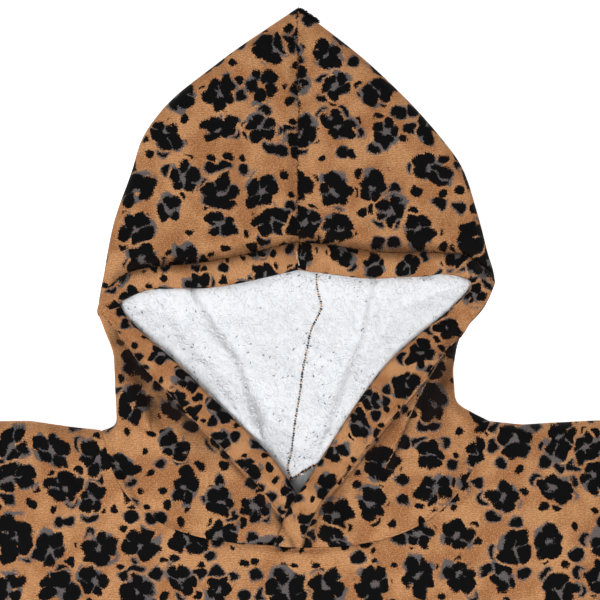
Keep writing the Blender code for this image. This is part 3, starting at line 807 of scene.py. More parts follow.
def grid_normals(grid):
    """The direction that a grid faces at each of its points."""
    across = np.gradient(grid, axis=1)
    along = np.gradient(grid, axis=0)
    normals = np.cross(across, along)
    length = np.linalg.norm(normals, axis=2)[..., None]
    return normals / np.maximum(length, 1e-9)


# Materials
class Field:
    """A value in a shader, worked with as a number."""

    def __init__(self, tree, socket):
        self.tree, self.socket = tree, socket

    def maths(self, operation, *others):
        return self.tree.node("ShaderNodeMath", {"operation": operation}, [self, *others]).out()

    def __add__(self, other):
        return self.maths("ADD", other)

    def __sub__(self, other):
        return self.maths("SUBTRACT", other)

    def __mul__(self, other):
        return self.maths("MULTIPLY", other)

    def __truediv__(self, other):
        return self.maths("DIVIDE", other)

    def __rsub__(self, other):
        return self.tree.node("ShaderNodeMath", {"operation": "SUBTRACT"}, [other, self]).out()

    __radd__, __rmul__ = __add__, __mul__

    def above(self, low, soft):
        """0 below low, 1 above low + soft, and smooth between."""
        settings = {"interpolation_type": "SMOOTHSTEP"}
        inputs = {"Value": self, "From Min": low, "From Max": low + soft}
        return self.tree.node("ShaderNodeMapRange", settings, inputs).out()

    def least(self, other):
        return self.maths("MINIMUM", other)

    def most(self, other):
        return self.maths("MAXIMUM", other)


class Made:
    """A node that has been made, with its outputs as fields."""

    def __init__(self, tree, made):
        self.tree, self.made = tree, made

    def out(self, name=0):
        return Field(self.tree, self.made.outputs[name])


class Tree:
    """The nodes of one material."""

    def __init__(self, name):
        self.material = bpy.data.materials.new(name)
        self.material.use_nodes = True
        self.nodes, self.links = self.material.node_tree.nodes, self.material.node_tree.links
        self.shader = self.nodes["Principled BSDF"]

    def node(self, kind, settings=None, inputs=None):
        """Make a node and set or link its inputs, by name or in their order."""
        made = self.nodes.new(kind)
        for key, value in (settings or {}).items():
            setattr(made, key, value)
        items = inputs.items() if isinstance(inputs, dict) else enumerate(inputs or [])
        for key, value in items:
            self.put(made.inputs[key], value)
        return Made(self, made)

    def put(self, socket, value):
        if isinstance(value, Field):
            self.links.new(value.socket, socket)
        else:
            socket.default_value = value

    def vector(self, operation, *inputs):
        return self.node("ShaderNodeVectorMath", {"operation": operation}, list(inputs)).out()

    def mix(self, share, first, second):
        made = self.node("ShaderNodeMix", {"data_type": "RGBA"}, {0: share})
        for key, value in ((6, first), (7, second)):
            self.put(made.made.inputs[key], value if isinstance(value, Field) else (*value, 1.0))
        return made.out(2)

    def noise(self, at, size, detail=1.0, offset=0.0, stretch=(1.0, 1.0, 1.0), flat=True):
        """Noise with lumps of a size in metres."""
        place = self.vector("MULTIPLY", at, tuple(s / size for s in stretch))
        place = self.vector("ADD", place, (offset, offset * 0.7, offset * 1.3))
        settings = {"noise_dimensions": "2D" if flat else "3D"}
        inputs = {"Vector": place, "Scale": 1.0, "Detail": detail, "Roughness": 0.55}
        return self.node("ShaderNodeTexNoise", settings, inputs)

    def shift(self, at, size, amount, detail, offset):
        """A random vector of about that amount, to push a pattern out of shape with."""
        colour = self.noise(at, size, detail, offset).out("Color")
        centred = self.vector("SUBTRACT", colour, (0.5, 0.5, 0.5))
        return self.vector("MULTIPLY", centred, (amount, amount, 0.0))

    def cells(self, at, randomness, feature="F1"):
        """Cells about 1 across, each round a random point."""
        settings = {"feature": feature, "voronoi_dimensions": "2D"}
        inputs = {"Vector": at, "Scale": 1.0, "Randomness": randomness}
        return self.node("ShaderNodeTexVoronoi", settings, inputs)

    def axes(self, vector):
        """X, Y and Z of a vector."""
        made = self.node("ShaderNodeSeparateXYZ", {}, {"Vector": vector})
        return [made.out(k) for k in range(3)]

    def channels(self, colour):
        """Red, green and blue of a colour."""
        made = self.node("ShaderNodeSeparateColor", {}, {"Color": colour})
        return [made.out(k) for k in range(3)]

    def finish(self, colour, roughness, bumps, sheen=0.0, sheen_tint=(1.0, 1.0, 1.0)):
        """Set the shader. bumps are (height field, strength, distance) from broad to fine."""
        self.put(self.shader.inputs["Base Color"], colour)
        self.shader.inputs["Roughness"].default_value = roughness
        self.shader.inputs["Specular IOR Level"].default_value = 0.06
        self.shader.inputs["Sheen Weight"].default_value = sheen
        self.shader.inputs["Sheen Roughness"].default_value = 0.45
        self.shader.inputs["Sheen Tint"].default_value = (*sheen_tint, 1.0)
        last = None
        for height, strength, distance in bumps:
            inputs = {"Strength": strength, "Distance": distance, "Height": height}
            made = self.node("ShaderNodeBump", {}, inputs)
            if last:
                self.put(made.made.inputs["Normal"], last)
            last = made.out()
        if last:
            self.put(self.shader.inputs["Normal"], last)
        return self.material


# The print: one ring of spots in each cell. Each petal has its place on the ring as a share of the
# turn, the random value of the cell that it follows, and its size
FULL_TURN = 6.283
CELL = 0.0385
SMALL_CELL = (0.0170, 0.0155)
NAP_ROW = 0.0019
PETALS = ((0.0, 0, 1.0), (0.21, 1, 0.9), (0.40, 2, 1.0), (0.61, 0, 0.85), (0.81, 1, 0.95))
RING = 0.227


def leopard(t, uv):
    """The printed coat: thick broken black rings with grey hearts, and small spots, on tan."""
    lump = t.shift(uv, 0.010, 0.16, 0.0, 8.7)
    jag = t.shift(uv, 0.0012, 0.110, 1.0, 17.0)
    at = t.vector("MULTIPLY", uv, (1 / CELL, 1 / CELL, 0.0))
    at = t.vector("ADD", at, t.shift(uv, 0.060, 0.35, 0.0, 3.1))
    at = t.vector("ADD", at, t.vector("ADD", lump, jag))
    cell = t.cells(at, 0.6)
    border = t.cells(at, 0.6, "DISTANCE_TO_EDGE").out("Distance")
    r = t.channels(cell.out("Color"))
    local = t.axes(t.vector("SUBTRACT", at, cell.out("Position")))
    turn = r[2] * FULL_TURN
    cosine, sine = turn.maths("COSINE"), turn.maths("SINE")
    size = 1.12 - 0.27 * r[0]
    x = (local[0] * cosine + local[1] * sine) * size
    y = (local[1] * cosine - local[0] * sine) * size * (0.95 + 0.36 * r[1])
    first = second = None
    for place, k, big in PETALS:
        angle = FULL_TURN * place + 0.55 * r[k]
        a, b = x - RING * angle.maths("COSINE"), y - RING * angle.maths("SINE")
        odd = (r[k] * (37.0 + 11.0 * place)).maths("FRACT")
        away = (a * a + b * b).maths("SQRT") - big * (0.134 + 0.072 * odd)
        if first is None:
            first, second = away, away + 9.0
        else:
            second = second.least(first.most(away))
            first = first.least(away)
    joined = t.noise(uv, 0.012, 0.0, 33.0).out(0).above(0.36, 0.05)
    slit = 0.012 + 0.03 * r[1] - (second - first) - 0.2 * joined
    near = first.most(slit).most(0.034 - border)
    black = (near * -1).above(-0.008, 0.016)
    frayed = t.axes(t.shift(uv, 0.0016, 0.10, 1.0, 41.0))[0]
    heart = (RING + 0.03 - (x * x + y * y).maths("SQRT") - frayed).above(0.0, 0.03)
    heart = heart * t.noise(uv, 0.016, 0.0, 55.0).out(0).above(0.22, 0.03)
    a = x - 0.09
    halo = (RING + 0.165 - (a * a + y * y).maths("SQRT") - frayed).above(0.0, 0.05)
    halo = halo * t.noise(uv, 0.013, 0.0, 71.0).out(0).above(0.44, 0.05)
    grey = heart.most(halo) * border.above(0.01, 0.03)
    at = t.vector("MULTIPLY", uv, (1 / SMALL_CELL[0], 1 / SMALL_CELL[1], 0.0))
    at = t.vector("ADD", at, t.vector("MULTIPLY", t.vector("ADD", lump, jag), (2.0, 2.0, 0.0)))
    spot = t.cells(at, 0.85)
    s = t.channels(spot.out("Color"))
    away = spot.out("Distance")
    spots = (0.17 + 0.24 * s[1] - away).above(0.0, 0.04)
    spots = spots * s[0].above(0.10, 0.01) * near.above(0.065, 0.02)
    rims = (0.25 + 0.24 * s[1] - away - frayed).above(0.0, 0.06)
    rims = rims * s[1].above(0.55, 0.01) * s[0].above(0.10, 0.01) * near.above(0.03, 0.02)
    black = black.most(spots)
    grey = grey.most(rims * 0.8)
    shade = t.noise(uv, 0.030, 2.0, 91.0).out(0)
    tan = t.mix(shade.above(0.33, 0.34), (0.34, 0.135, 0.046), (0.50, 0.240, 0.099))
    nap = t.noise(uv, 0.0011, 2.0, 101.0, (0.42, 1.0, 1.0)).out(0)
    drift = t.noise(uv, 0.012, 1.0, 60.0).out(0)
    rib = ((t.axes(uv)[1] * (FULL_TURN / NAP_ROW)) + drift * 14.0).maths("SINE") * 0.5 + 0.5
    nap = nap * 0.82 + rib * 0.18
    tan = t.mix(nap.above(0.28, 0.42), t.mix(0.5, tan, (0.14, 0.055, 0.018)), tan)
    # Painted highlight: fine pale glints of pile lightened into the tan
    glint = t.noise(uv, 0.0010, 1.0, 77.0).out(0)
    tan = t.mix(glint.above(0.56, 0.12) * 0.45, tan, (0.66, 0.44, 0.28))
    grey = (grey * (0.74 + 0.5 * nap)).least(1.0)
    colour = t.mix(grey, tan, (0.100, 0.090, 0.090))
    return t.mix(black, colour, (0.0028, 0.0026, 0.0030)), nap


def fleece():
    """The printed outer cloth, with shade painted into its colour in the hollows that the piece's attribute
    marks.
    """
    t = Tree("printed_fleece_cloth")
    uv = t.node("ShaderNodeUVMap", {"uv_map": "cut"}).out()
    colour, nap = leopard(t, uv)
    painted_shade = t.node("ShaderNodeAttribute", {"attribute_name": "painted_shade"}).out("Fac")
    # Painted shade: the colour is darkened towards dark brown in the hollows beside the hem's creases, the
    # folds and the brow
    colour = t.mix(painted_shade, colour, t.mix(0.86, colour, (0.012, 0.006, 0.004)))
    soft = t.noise(uv, 0.006, 2.0, 5.0).out(0)
    return t.finish(colour, 0.85, ((soft, 0.35, 0.0012), (nap, 0.35, 0.0008)), 0.03, (1.0, 0.85, 0.7))


def sherpa(name, dark, light):
    """The curly pile of the linings, from a dark to a light shade."""
    t = Tree(name)
    at = t.node("ShaderNodeTexCoord").out("Object")
    drift = t.noise(at, 0.014, 1.0, 2.0, flat=False).out("Color")
    lean = t.vector("ADD", at, t.vector("MULTIPLY", drift, (0.007, 0.007, 0.0)))
    curl = t.noise(lean, 0.0042, 3.0, 2.0, (1.0, 0.62, 1.0), flat=False).out(0)
    fine = t.noise(lean, 0.0013, 2.0, 9.0, (1.0, 0.5, 1.0), flat=False).out(0)
    fleck = t.noise(lean, 0.0021, 1.0, 31.0, (1.0, 0.4, 1.0), flat=False).out(0)
    shade = t.mix(curl.above(0.24, 0.26), dark, light)
    shade = t.mix(fine.above(0.26, 0.2), t.mix(0.22, shade, (0.52, 0.54, 0.58)), shade)
    shade = t.mix(fleck.above(0.785, 0.035) * 0.5, shade, (0.17, 0.17, 0.18))
    return t.finish(shade, 0.95, ((curl, 0.6, 0.003), (fine, 0.2, 0.0012)), 0.3)


FLEECE = fleece()
SHERPA = sherpa("sherpa_pile", (0.64, 0.66, 0.695), (0.735, 0.75, 0.775))
# The back lining's pile is painted a darker grey: painted shade, for the lining that lies deep in the shadow
# of the open neck
SHADED_SHERPA = sherpa("shade_painted_sherpa_pile", (0.20, 0.20, 0.21), (0.34, 0.34, 0.35))


def thread(name, colour, least=0.7):
    """Thread or pile of one colour, darker in places along its length, down to a share of it."""
    t = Tree(name)
    at = t.node("ShaderNodeTexCoord").out("Object")
    lit = t.noise(at, 0.0011, 1.0, 4.0, flat=False).out(0).above(0.3, 0.35)
    return t.finish(t.mix(lit, tuple(least * part for part in colour), colour), 0.8, ())


THREADS = (thread("thread_black", (0.008, 0.008, 0.010)), thread("thread_tan", (0.60, 0.29, 0.11)))
PALE_THREAD = thread("thread_pale", (0.80, 0.66, 0.50))
BLACK_PILE = thread("black_pile", (0.006, 0.006, 0.007))
BROWN_PILE = thread("brown_pile", (0.19, 0.080, 0.032))
CURL_PILE = thread("curl_pile", (0.75, 0.763, 0.785), 0.88)
# Pile along the bands' turned edges: the pile is real, its paler colour is a painted highlight where the
# fibres catch the light
HIGHLIGHT_EDGE_PILE = thread("highlight_edge_pile", (0.56, 0.34, 0.19))
DARK_HAIR = thread("dark_hair", (0.05, 0.05, 0.055))

# Pieces
LINING_OUTER = HOOD_CLOTH + LINING_GAP
HOODS = {1: HoodSide(HOOD_RIGHT, 1, ROW_STEP), -1: HoodSide(HOOD_LEFT, -1, ROW_STEP)}
LINED = {1: HoodSide(HOOD_RIGHT, 1, LINING_ROW_STEP), -1: HoodSide(HOOD_LEFT, -1, LINING_ROW_STEP)}
WORDS = {1: "right", -1: "left"}
SHADE_PAINTED_ABOVE = 12.0

# Where shade is painted into the cloth's colour, darker in a hollow beside a line
ShadeLine = namedtuple("ShadeLine", "line side reach amount")
PAINTED_SHADE_LINES = (
    ShadeLine([p for p in STITCHED_RIGHT if p[1] < 92.0], -1, 2.6, 0.92),
    ShadeLine([p for p in STITCHED_RIGHT if p[1] < 80.0], -1, 8.0, 0.42),
    ShadeLine([p for p in STITCHED_LEFT if p[1] < 88.0], 1, 3.4, 0.92),
    ShadeLine([p for p in STITCHED_LEFT if -4.0 < p[1] < 82.0], 1, 15.0, 0.88),
    ShadeLine(TOP_FOLDS[0].line, 1, 4.5, 0.85),
    ShadeLine(((132.0, 66.0), (124.0, 42.0), (113.0, 14.0)), 0, 10.0, 0.85),
    ShadeLine(((-146.0, 66.0), (-134.0, 44.0), (-120.0, 18.0)), 0, 8.0, 0.85),
    ShadeLine(BROW, 0, 3.5, 0.5),
)


def painted_shade_along(lines, x, y):
    """From 0 to 1, by the strongest of the lines. A side of 0 takes both sides."""
    total = np.zeros(np.shape(x))
    for line, side, reach, amount in lines:
        away = side_of_line(x, y, line)
        near = ease((away * side + 1.0) / 1.6) if side else 1.0
        total = np.maximum(total, amount * near * np.exp(-((away / reach) ** 2)))
    return total * (0.8 + 0.3 * soft_noise(x, y, 9.0, 5))


def paint_shade_in_hollows(made):
    """Paint shade into a piece's colour in its hollows, on its upper faces only."""
    points = np.empty(len(made.data.vertices) * 3)
    made.data.vertices.foreach_get("co", points)
    points = points.reshape(-1, 3) / MM
    x, y = points[:, 0], points[:, 1] + ORIGIN_Y
    on_top = points[:, 2] > SHADE_PAINTED_ABOVE
    values = (painted_shade_along(PAINTED_SHADE_LINES, x, y) * on_top).astype(np.float32)
    made.data.attributes.new("painted_shade", "FLOAT", "POINT").data.foreach_set("value", values)


def hood_panel(side):
    """One half of the hood's printed cloth."""
    hood = HOODS[side]
    columns = hood.columns((HEM_STEPS, TOP_STEPS, TURN_STEPS, BACK_STEPS))
    name = f"hood_{WORDS[side]}"
    flat = hood.flat(columns) + CUT_AT[name]
    made = shell(name + "_cloth", hood.grid(0.0, columns), hood.grid(HOOD_CLOTH, columns), flat, FLEECE)
    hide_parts(name)
    paint_shade_in_hollows(made)


def lining_relief(x, y):
    """How far the lining stands up on its own: soft steps and clumps of pile."""
    height = 1.5 * soft_noise(x, y, 30.0, 5) + 0.7 * soft_noise(x, y, 9.0, 3)
    height = height + 0.45 * soft_noise(x, y, 4.4, 4)
    for step in LINING_STEPS:
        away = side_of_line(x, y, step.line) * step.side
        rise = ease((away + 3.0) / 8.0) * np.exp(-((away / step.reach) ** 2))
        rise = rise - 0.35 * np.exp(-(((away + 5.0) / 7.0) ** 2))
        height = height + step.height * rise * (0.85 + 0.3 * soft_noise(x, y, 16.0, 2))
    from_right, from_left = side_of_line(x, y, OPENING_RIGHT), -side_of_line(x, y, OPENING_LEFT)
    inside = np.where(np.abs(from_right) < np.abs(from_left), from_right, from_left)
    height = height * ease((inside + 14.0) / 10.0)
    bulge = 7.2 * np.exp(-(((inside - 4.0) / 11.0) ** 2))
    bulge = bulge + 2.4 * np.exp(-(((inside - 16.0) / 10.0) ** 2))
    return height + bulge * ease((inside + 4.0) / 6.0)


def lining_neck(x, y, neck_y, reach):
    """Push the neck seam of a lining to where it shows."""
    share = 1.0 - ease(np.abs(y - neck_y) / reach)
    return y + np.interp(x, [p[0] for p in NECK_SHIFT], [p[1] for p in NECK_SHIFT]) * share


# The faces of the lining that show in the opening, for the sewing and pile that stand on them
FLOOR_FACES = {}


def hood_lining(side):
    """One half of the hood's lining. Its centre seam and neck seam lie where the photo shows them."""
    hood = LINED[side]
    columns = hood.columns((LINING_TOP_STEPS, LINING_TURN_STEPS, LINING_FLOOR_STEPS), lining=True)
    outer = hood.grid(LINING_OUTER, columns)
    inner = hood.grid(LINING_OUTER + LINING_CLOTH, columns)
    seam = np.array(LINING_SEAM)[::-1]
    floor = LINING_TOP_STEPS + LINING_TURN_STEPS
    for face in (outer, inner):
        face[0] += (face[1] - face[0]) * LINING_SHORT_OF_SEAM
        on_floor = np.arange(face.shape[1]) >= floor
        neck_y = np.interp(face[..., 0] * side, face[0, floor:, 0][::-1] * side, face[0, floor:, 1][::-1])
        share = 1.0 - ease(np.abs(face[..., 0]) / LINING_SEAM_REACH)
        moved = face[..., 1]
        # the two shifts depend on each other and settle in a few rounds
        for _ in range(4):
            x = face[..., 0] + np.interp(moved, seam[:, 1], seam[:, 0]) * share
            moved = lining_neck(x, face[..., 1], neck_y, NECK_SHIFT_REACH)
        face[..., 0] = np.where(on_floor[None, :], x, face[..., 0])
        face[..., 1] = np.where(on_floor[None, :], moved, face[..., 1])
    x, y = inner[..., 0], inner[..., 1]
    lifted = ease((np.arange(inner.shape[1]) - floor + 4.0) / 12.0)[None, :]
    rough = side * 0.5 * soft_noise(x, y, 6.0, 6)
    inner = inner + grid_normals(inner) * rough[..., None] * (1.0 - lifted[..., None])
    inner[..., 2] += lining_relief(x, y) * lifted
    FLOOR_FACES[side] = inner[:, floor:]
    name = f"hood_lining_{WORDS[side]}"
    made = shell(name + "_pile", outer, inner, hood.flat(columns), SHERPA)
    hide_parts(name)


def along_and_off(points, line):
    """For plan points: how far along a line their nearest place on it lies, and how far off it is."""
    near, along = np.full(points.shape[:-1], 1e9), np.zeros(points.shape[:-1])
    travel = 0.0
    for a, b in zip(line, line[1:]):
        move = b - a
        length = np.linalg.norm(move)
        share = np.clip(((points - a) @ move) / max(length * length, 1e-9), 0.0, 1.0)
        away = np.linalg.norm(points - a - share[..., None] * move, axis=-1)
        along = np.where(away < near, travel + share * length, along)
        near = np.minimum(near, away)
        travel += length
    return along, near


# The upper face of each hem, from the opening's edge to the crease, for the pile that stands on it
HEM_FACES = {}


def hood_hem(side):
    """One half of the turned hem: a ring of points round its double cloth at every section."""
    hood = HOODS[side]
    first = 0 if side > 0 else int(10.0 / ROW_STEP)
    hem = hood.sections.hem
    places = np.linspace(0.0, 1.0, 15)
    columns = hem[:, None] * places[None, :]
    panel = hood.grid(0.0, columns)
    up = hood.grid(-1.0, columns) - panel
    up /= np.linalg.norm(up, axis=2)[..., None]
    ahead = panel[:, 0] - panel[:, 1]
    ahead /= np.linalg.norm(ahead, axis=1)[:, None]
    travel = lengths_along(panel[:, 0])
    from_crease = hem[:, None] * (1.0 - places)[None, :]
    at_brow = ease((hood.sections.seam_y - 96.0) / 26.0)[:, None]
    rise = rounded(np.minimum(from_crease / (2.6 + 6.4 * at_brow), 1.0))
    crown = (1.4 + 1.6 * at_brow) * np.sin(math.pi * np.clip(places, 0.0, 1.0)) ** 1.3
    crown = crown + 3.0 * (1.0 - at_brow) * np.exp(-(((from_crease - 3.2) / 2.6) ** 2))
    along, across = np.meshgrid(travel, hem[0] * places, indexing="ij")
    puckers = 0.4 * soft_noise(along, across, 6.0, 6)
    puckers = puckers + (0.4 + 0.5 * at_brow) * soft_noise(along, across * 0.4, 11.0, 7)
    thick = HEM_THINNEST + (HEM_CLOTH - HEM_THINNEST + crown + puckers) * rise
    over = panel + up * (HEM_GAP + thick)[..., None]
    under = panel + up * HEM_GAP
    HEM_FACES[side] = over
    along, _ = along_and_off(panel[..., :2], panel[:, panel.shape[1] // 2, :2])
    _, off = along_and_off(panel[..., :2], panel[:, 0, :2])
    rings, marks = [], []
    angles = np.linspace(math.pi / 2, -math.pi / 2, 11)[1:-1]
    for k in range(first, len(panel)):
        top, bottom = HEM_GAP + thick[k, 0], -HEM_DROP + HEM_GAP
        middle, half = (top + bottom) / 2, (top - bottom) / 2
        front = [
            panel[k, 0] + ahead[k] * (0.4 + 3.0 * math.cos(a)) + up[k, 0] * (middle + half * math.sin(a))
            for a in angles
        ]
        behind = panel[k, 0] + ahead[k] * 0.5
        tuck = [behind + up[k, 0] * bottom, behind + up[k, 0] * HEM_GAP]
        rings.append(list(over[k][::-1]) + front + tuck + list(under[k][1:]))
        turned = -1.4 * np.arange(1, len(front) + len(tuck) + 1)
        u = np.concatenate([off[k][::-1], turned, off[k][1:]])
        v = np.concatenate([along[k][::-1], np.full(len(turned), along[k][0]), along[k][1:]])
        marks.append(np.column_stack([u, v]))
    rings = np.array(rings)
    name = f"hood_hem_{WORDS[side]}"
    marks = np.array(marks) * HEM_PRINT_DRAWN_IN + CUT_AT[name]
    rows, columns = rings.shape[:2]
    faces = [tuple(int(i) for i in f) for f in grid_faces(rows, columns, closed=True)]
    faces.append(tuple(range(columns - 1, -1, -1)))
    faces.append(tuple((rows - 1) * columns + i for i in range(columns)))
    made = make_piece(name + "_cloth", rings.reshape(-1, 3), faces, marks.reshape(-1, 2), FLEECE)
    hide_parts(name)
    paint_shade_in_hollows(made)


# How far below the top edge the upper rows of the body's grids lie
FRONT_INSETS = np.concatenate([
    np.arange(148.0, 12.0, -3.0),
    [12.0, 10.0, 8.0, 6.4, 5.0, 3.8, 2.8, 2.0, 1.3, 0.7, 0.3, 0.0],
])
BACK_INSETS = (130.0, 110.0, 90.0, 70.0, 50.0, 36.0, 24.0, 14.0, 8.0, 4.0, 2.0, 1.0, 0.4, 0.0)
FRONT_LOWER_ROWS = 62
BACK_LOWER_ROWS = 30


def body_front():
    """The front of the body, up to the shoulders and the hood."""
    top = top_edge(HOODS, True, 3.2)
    outer = body_grid(top, FRONT_INSETS, FRONT_LOWER_ROWS, front_outer)
    inner = outer.copy()
    inner[..., 2] = np.maximum(BODY_CLOTH + SEAM_GAP, outer[..., 2] - BODY_CLOTH)
    made = shell("body_front_cloth", outer, inner, outer[..., :2] + CUT_AT["body_front"], FLEECE)
    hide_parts("body_front")


def back_outer(x, y):
    """Height of the back of the body, whose edges turn up."""
    return (BODY_CLOTH - RIM) * (1.0 - turned_down(x, y))


def body_back():
    """The back of the body, flat on the floor."""
    top = top_edge(HOODS, False, 7.0)
    outer = body_grid(top, BACK_INSETS, BACK_LOWER_ROWS, back_outer)
    inner = outer.copy()
    inner[..., 2] = BODY_CLOTH
    made = shell("body_back_cloth", outer, inner, outer[..., :2] + CUT_AT["body_back"], FLEECE)
    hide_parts("body_back")


def back_lining():
    """The lining of the back, as far as the open neck shows it."""
    top = top_edge(HOODS, False, 2.6)
    top = top[np.abs(top[:, 0]) <= BACK_LINING_HALF_WIDTH]
    share = np.linspace(1.0, 0.0, 34)
    plan = np.array([np.column_stack([top[:, 0], top[:, 1] - BACK_LINING_LENGTH * s]) for s in share])
    plan[..., 1] = lining_neck(plan[..., 0], plan[..., 1], top[None, :, 1], BACK_LINING_LENGTH)
    under = np.dstack([plan, np.full(plan.shape[:2], BODY_CLOTH + SEAM_GAP)])
    x, y = plan[..., 0], plan[..., 1]
    pile = 0.8 * soft_noise(x, y, 7.0, 3) + 0.5 * soft_noise(x, y, 3.6, 4)
    over = under + np.dstack([np.zeros_like(x), np.zeros_like(x), BACK_LINING_CLOTH + 0.6 * pile])
    # Its darker grey pile is painted shade, deep in the open neck
    made = shell("back_lining_pile", over, under, plan, SHADED_SHERPA)
    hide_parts("back_lining")


def sleeve(side):
    """One sleeve, folded at its top and joined under the arm."""
    outer, flat = sleeve_grid(side, True)
    inner = sleeve_grid(side, False)[0]
    name = f"sleeve_{WORDS[side]}"
    made = shell(name + "_cloth", outer, inner, flat + CUT_AT[name], FLEECE)
    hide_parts(name)


def stitch_form():
    """One stitch at the origin: a small grain, long in X."""
    bpy.ops.object.select_all(action="DESELECT")
    bpy.ops.mesh.primitive_uv_sphere_add(segments=8, ring_count=5, radius=1.0)
    grain = bpy.context.object
    points = np.array([v.co for v in grain.data.vertices])
    faces = [tuple(f.vertices) for f in grain.data.polygons]
    bpy.data.objects.remove(grain)
    return points, faces


GRAIN = stitch_form()
# A curl or hair of pile: an eight-sided grain
CURL = (
    np.array([(1, 0, 0.35), (-1, 0, 0.35), (0, 1, 0), (0, -1, 0), (0, 0, 1), (0, 0, -1)], float),
    [(0, 2, 4), (2, 1, 4), (1, 3, 4), (3, 0, 4), (2, 0, 5), (1, 2, 5), (3, 1, 5), (0, 3, 5)],
)


def heading(angle, rise):
    """Directions at angles in plan, each with its own rise."""
    return np.column_stack([np.cos(angle), np.sin(angle), rise])


def grain_sizes(random, count, lengths, widths, tall):
    """Random half sizes of grains between two lengths and two widths. tall is one value or two too."""
    sizes = [random.uniform(*lengths, count), random.uniform(*widths, count)]
    sizes.append(random.uniform(*tall, count) if isinstance(tall, tuple) else np.full(count, tall))
    return np.column_stack(sizes)


def stitches(name, places, directions, sizes, materials, which=None, grain=CURL, smooth=True):
    """Many small grains joined in one mesh, each with its own place, direction, size and material."""
    form, form_faces = grain
    points, faces, shades = [], [], []
    for k, (place, ahead, size) in enumerate(zip(places, directions, sizes)):
        ahead = np.array(ahead) / np.linalg.norm(ahead)
        aside = np.cross((0.0, 0.0, 1.0), ahead)
        if np.linalg.norm(aside) < 1e-3:
            aside = np.array((1.0, 0.0, 0.0))
        aside /= np.linalg.norm(aside)
        frame_axes = np.array([ahead, aside, np.cross(ahead, aside)])
        start = len(points) * len(form)
        points.append((form * size) @ frame_axes + place)
        faces += [tuple(i + start for i in f) for f in form_faces]
        shades += [0 if which is None else which[k]] * len(form_faces)
    mesh = bpy.data.meshes.new(name)
    mesh.from_pydata([tuple(p) for p in to_frame(np.vstack(points))], [], faces)
    for material in materials:
        mesh.materials.append(material)
    mesh.polygons.foreach_set("material_index", np.array(shades, dtype=np.int32))
    if smooth:
        mesh.shade_smooth()
    made = bpy.data.objects.new(name, mesh)
    PIECES.objects.link(made)
    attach(made, "root")


def plan_tree(grids):
    """The points of some faces in a search tree by plan place, with their heights."""
    cloud = np.vstack([grid.reshape(-1, 3) for grid in grids])
    tree = KDTree(len(cloud))
    for index, (x, y, _) in enumerate(cloud):
        tree.insert((x, y, 0.0), index)
    tree.balance()
    return tree, cloud[:, 2]


def heights(found, x, y):
    """Height of the nearest point of the faces at each plan place, and how far off it is."""
    tree, tall = found
    near = [tree.find((a, b, 0.0)) for a, b in zip(x, y)]
    return tall[[index for _, index, _ in near]], np.array([away for _, _, away in near])


def overlock(name, line, step, seed):
    """The overlocked edge of a lining seam: short threads across it, black and tan by turns."""
    random = np.random.RandomState(seed)
    points = resample(hermite_line(line), step)
    points = points + random.uniform(-0.25, 0.25, points.shape)
    along = np.gradient(points, axis=0)
    z = heights(LINING_TREE, points[:, 0], points[:, 1])[0] + 0.55
    places = np.column_stack([points, z])
    slant = np.column_stack([
        -along[:, 1] + 0.35 * along[:, 0],
        along[:, 0] + 0.35 * along[:, 1],
        np.zeros(len(along)),
    ])
    sizes = [(1.0 + random.uniform(-0.2, 0.3), 0.62, 0.65) for _ in points]
    which = [int((k + (random.uniform() < 0.2)) % 5 in (1, 3)) for k in range(len(points))]
    stitches(name, places, slant, sizes, THREADS, which, GRAIN)


def hermite_line(points):
    """Close points on a smooth curve through a few plan points."""
    rows = np.array(points, float)
    return hermite(rows, np.linalg.norm(np.diff(rows, axis=0), axis=1), 0.8)


NECK_SEAM_LINE = (
    (-16.0, -43.4),
    (-5.0, -40.4),
    (0.0, -37.6),
    (4.0, -34.4),
    (9.0, -31.6),
    (14.5, -28.6),
    (22.0, -27.4),
)


def in_opening(x, y):
    """Whether plan places lie inside the opening, as seen from above."""
    ring = np.array(OPENING_RIGHT + OPENING_LEFT[::-1])
    inside = np.zeros(len(x), bool)
    for (ax, ay), (bx, by) in zip(ring, np.roll(ring, -1, axis=0)):
        if ay != by:
            crosses = (ay > y) != (by > y)
            inside ^= crosses & (x < ax + (y - ay) * (bx - ax) / (by - ay))
    return inside


def scattered(step, seed):
    """Plan places in the opening, about a step apart, with heights on the lining."""
    random = np.random.RandomState(seed)
    ring = np.array(OPENING_RIGHT + OPENING_LEFT)
    low, high = ring.min(axis=0), ring.max(axis=0)
    ranges = [np.arange(a, b, step) for a, b in zip(low, high)]
    x, y = (g.ravel() for g in np.meshgrid(*ranges))
    x, y = (values + random.uniform(-0.6, 0.6, len(values)) * step for values in (x, y))
    z, away = heights(LINING_TREE, x, y)
    kept = in_opening(x, y) & (away < 1.6)
    return random, np.column_stack([x, y, z])[kept]


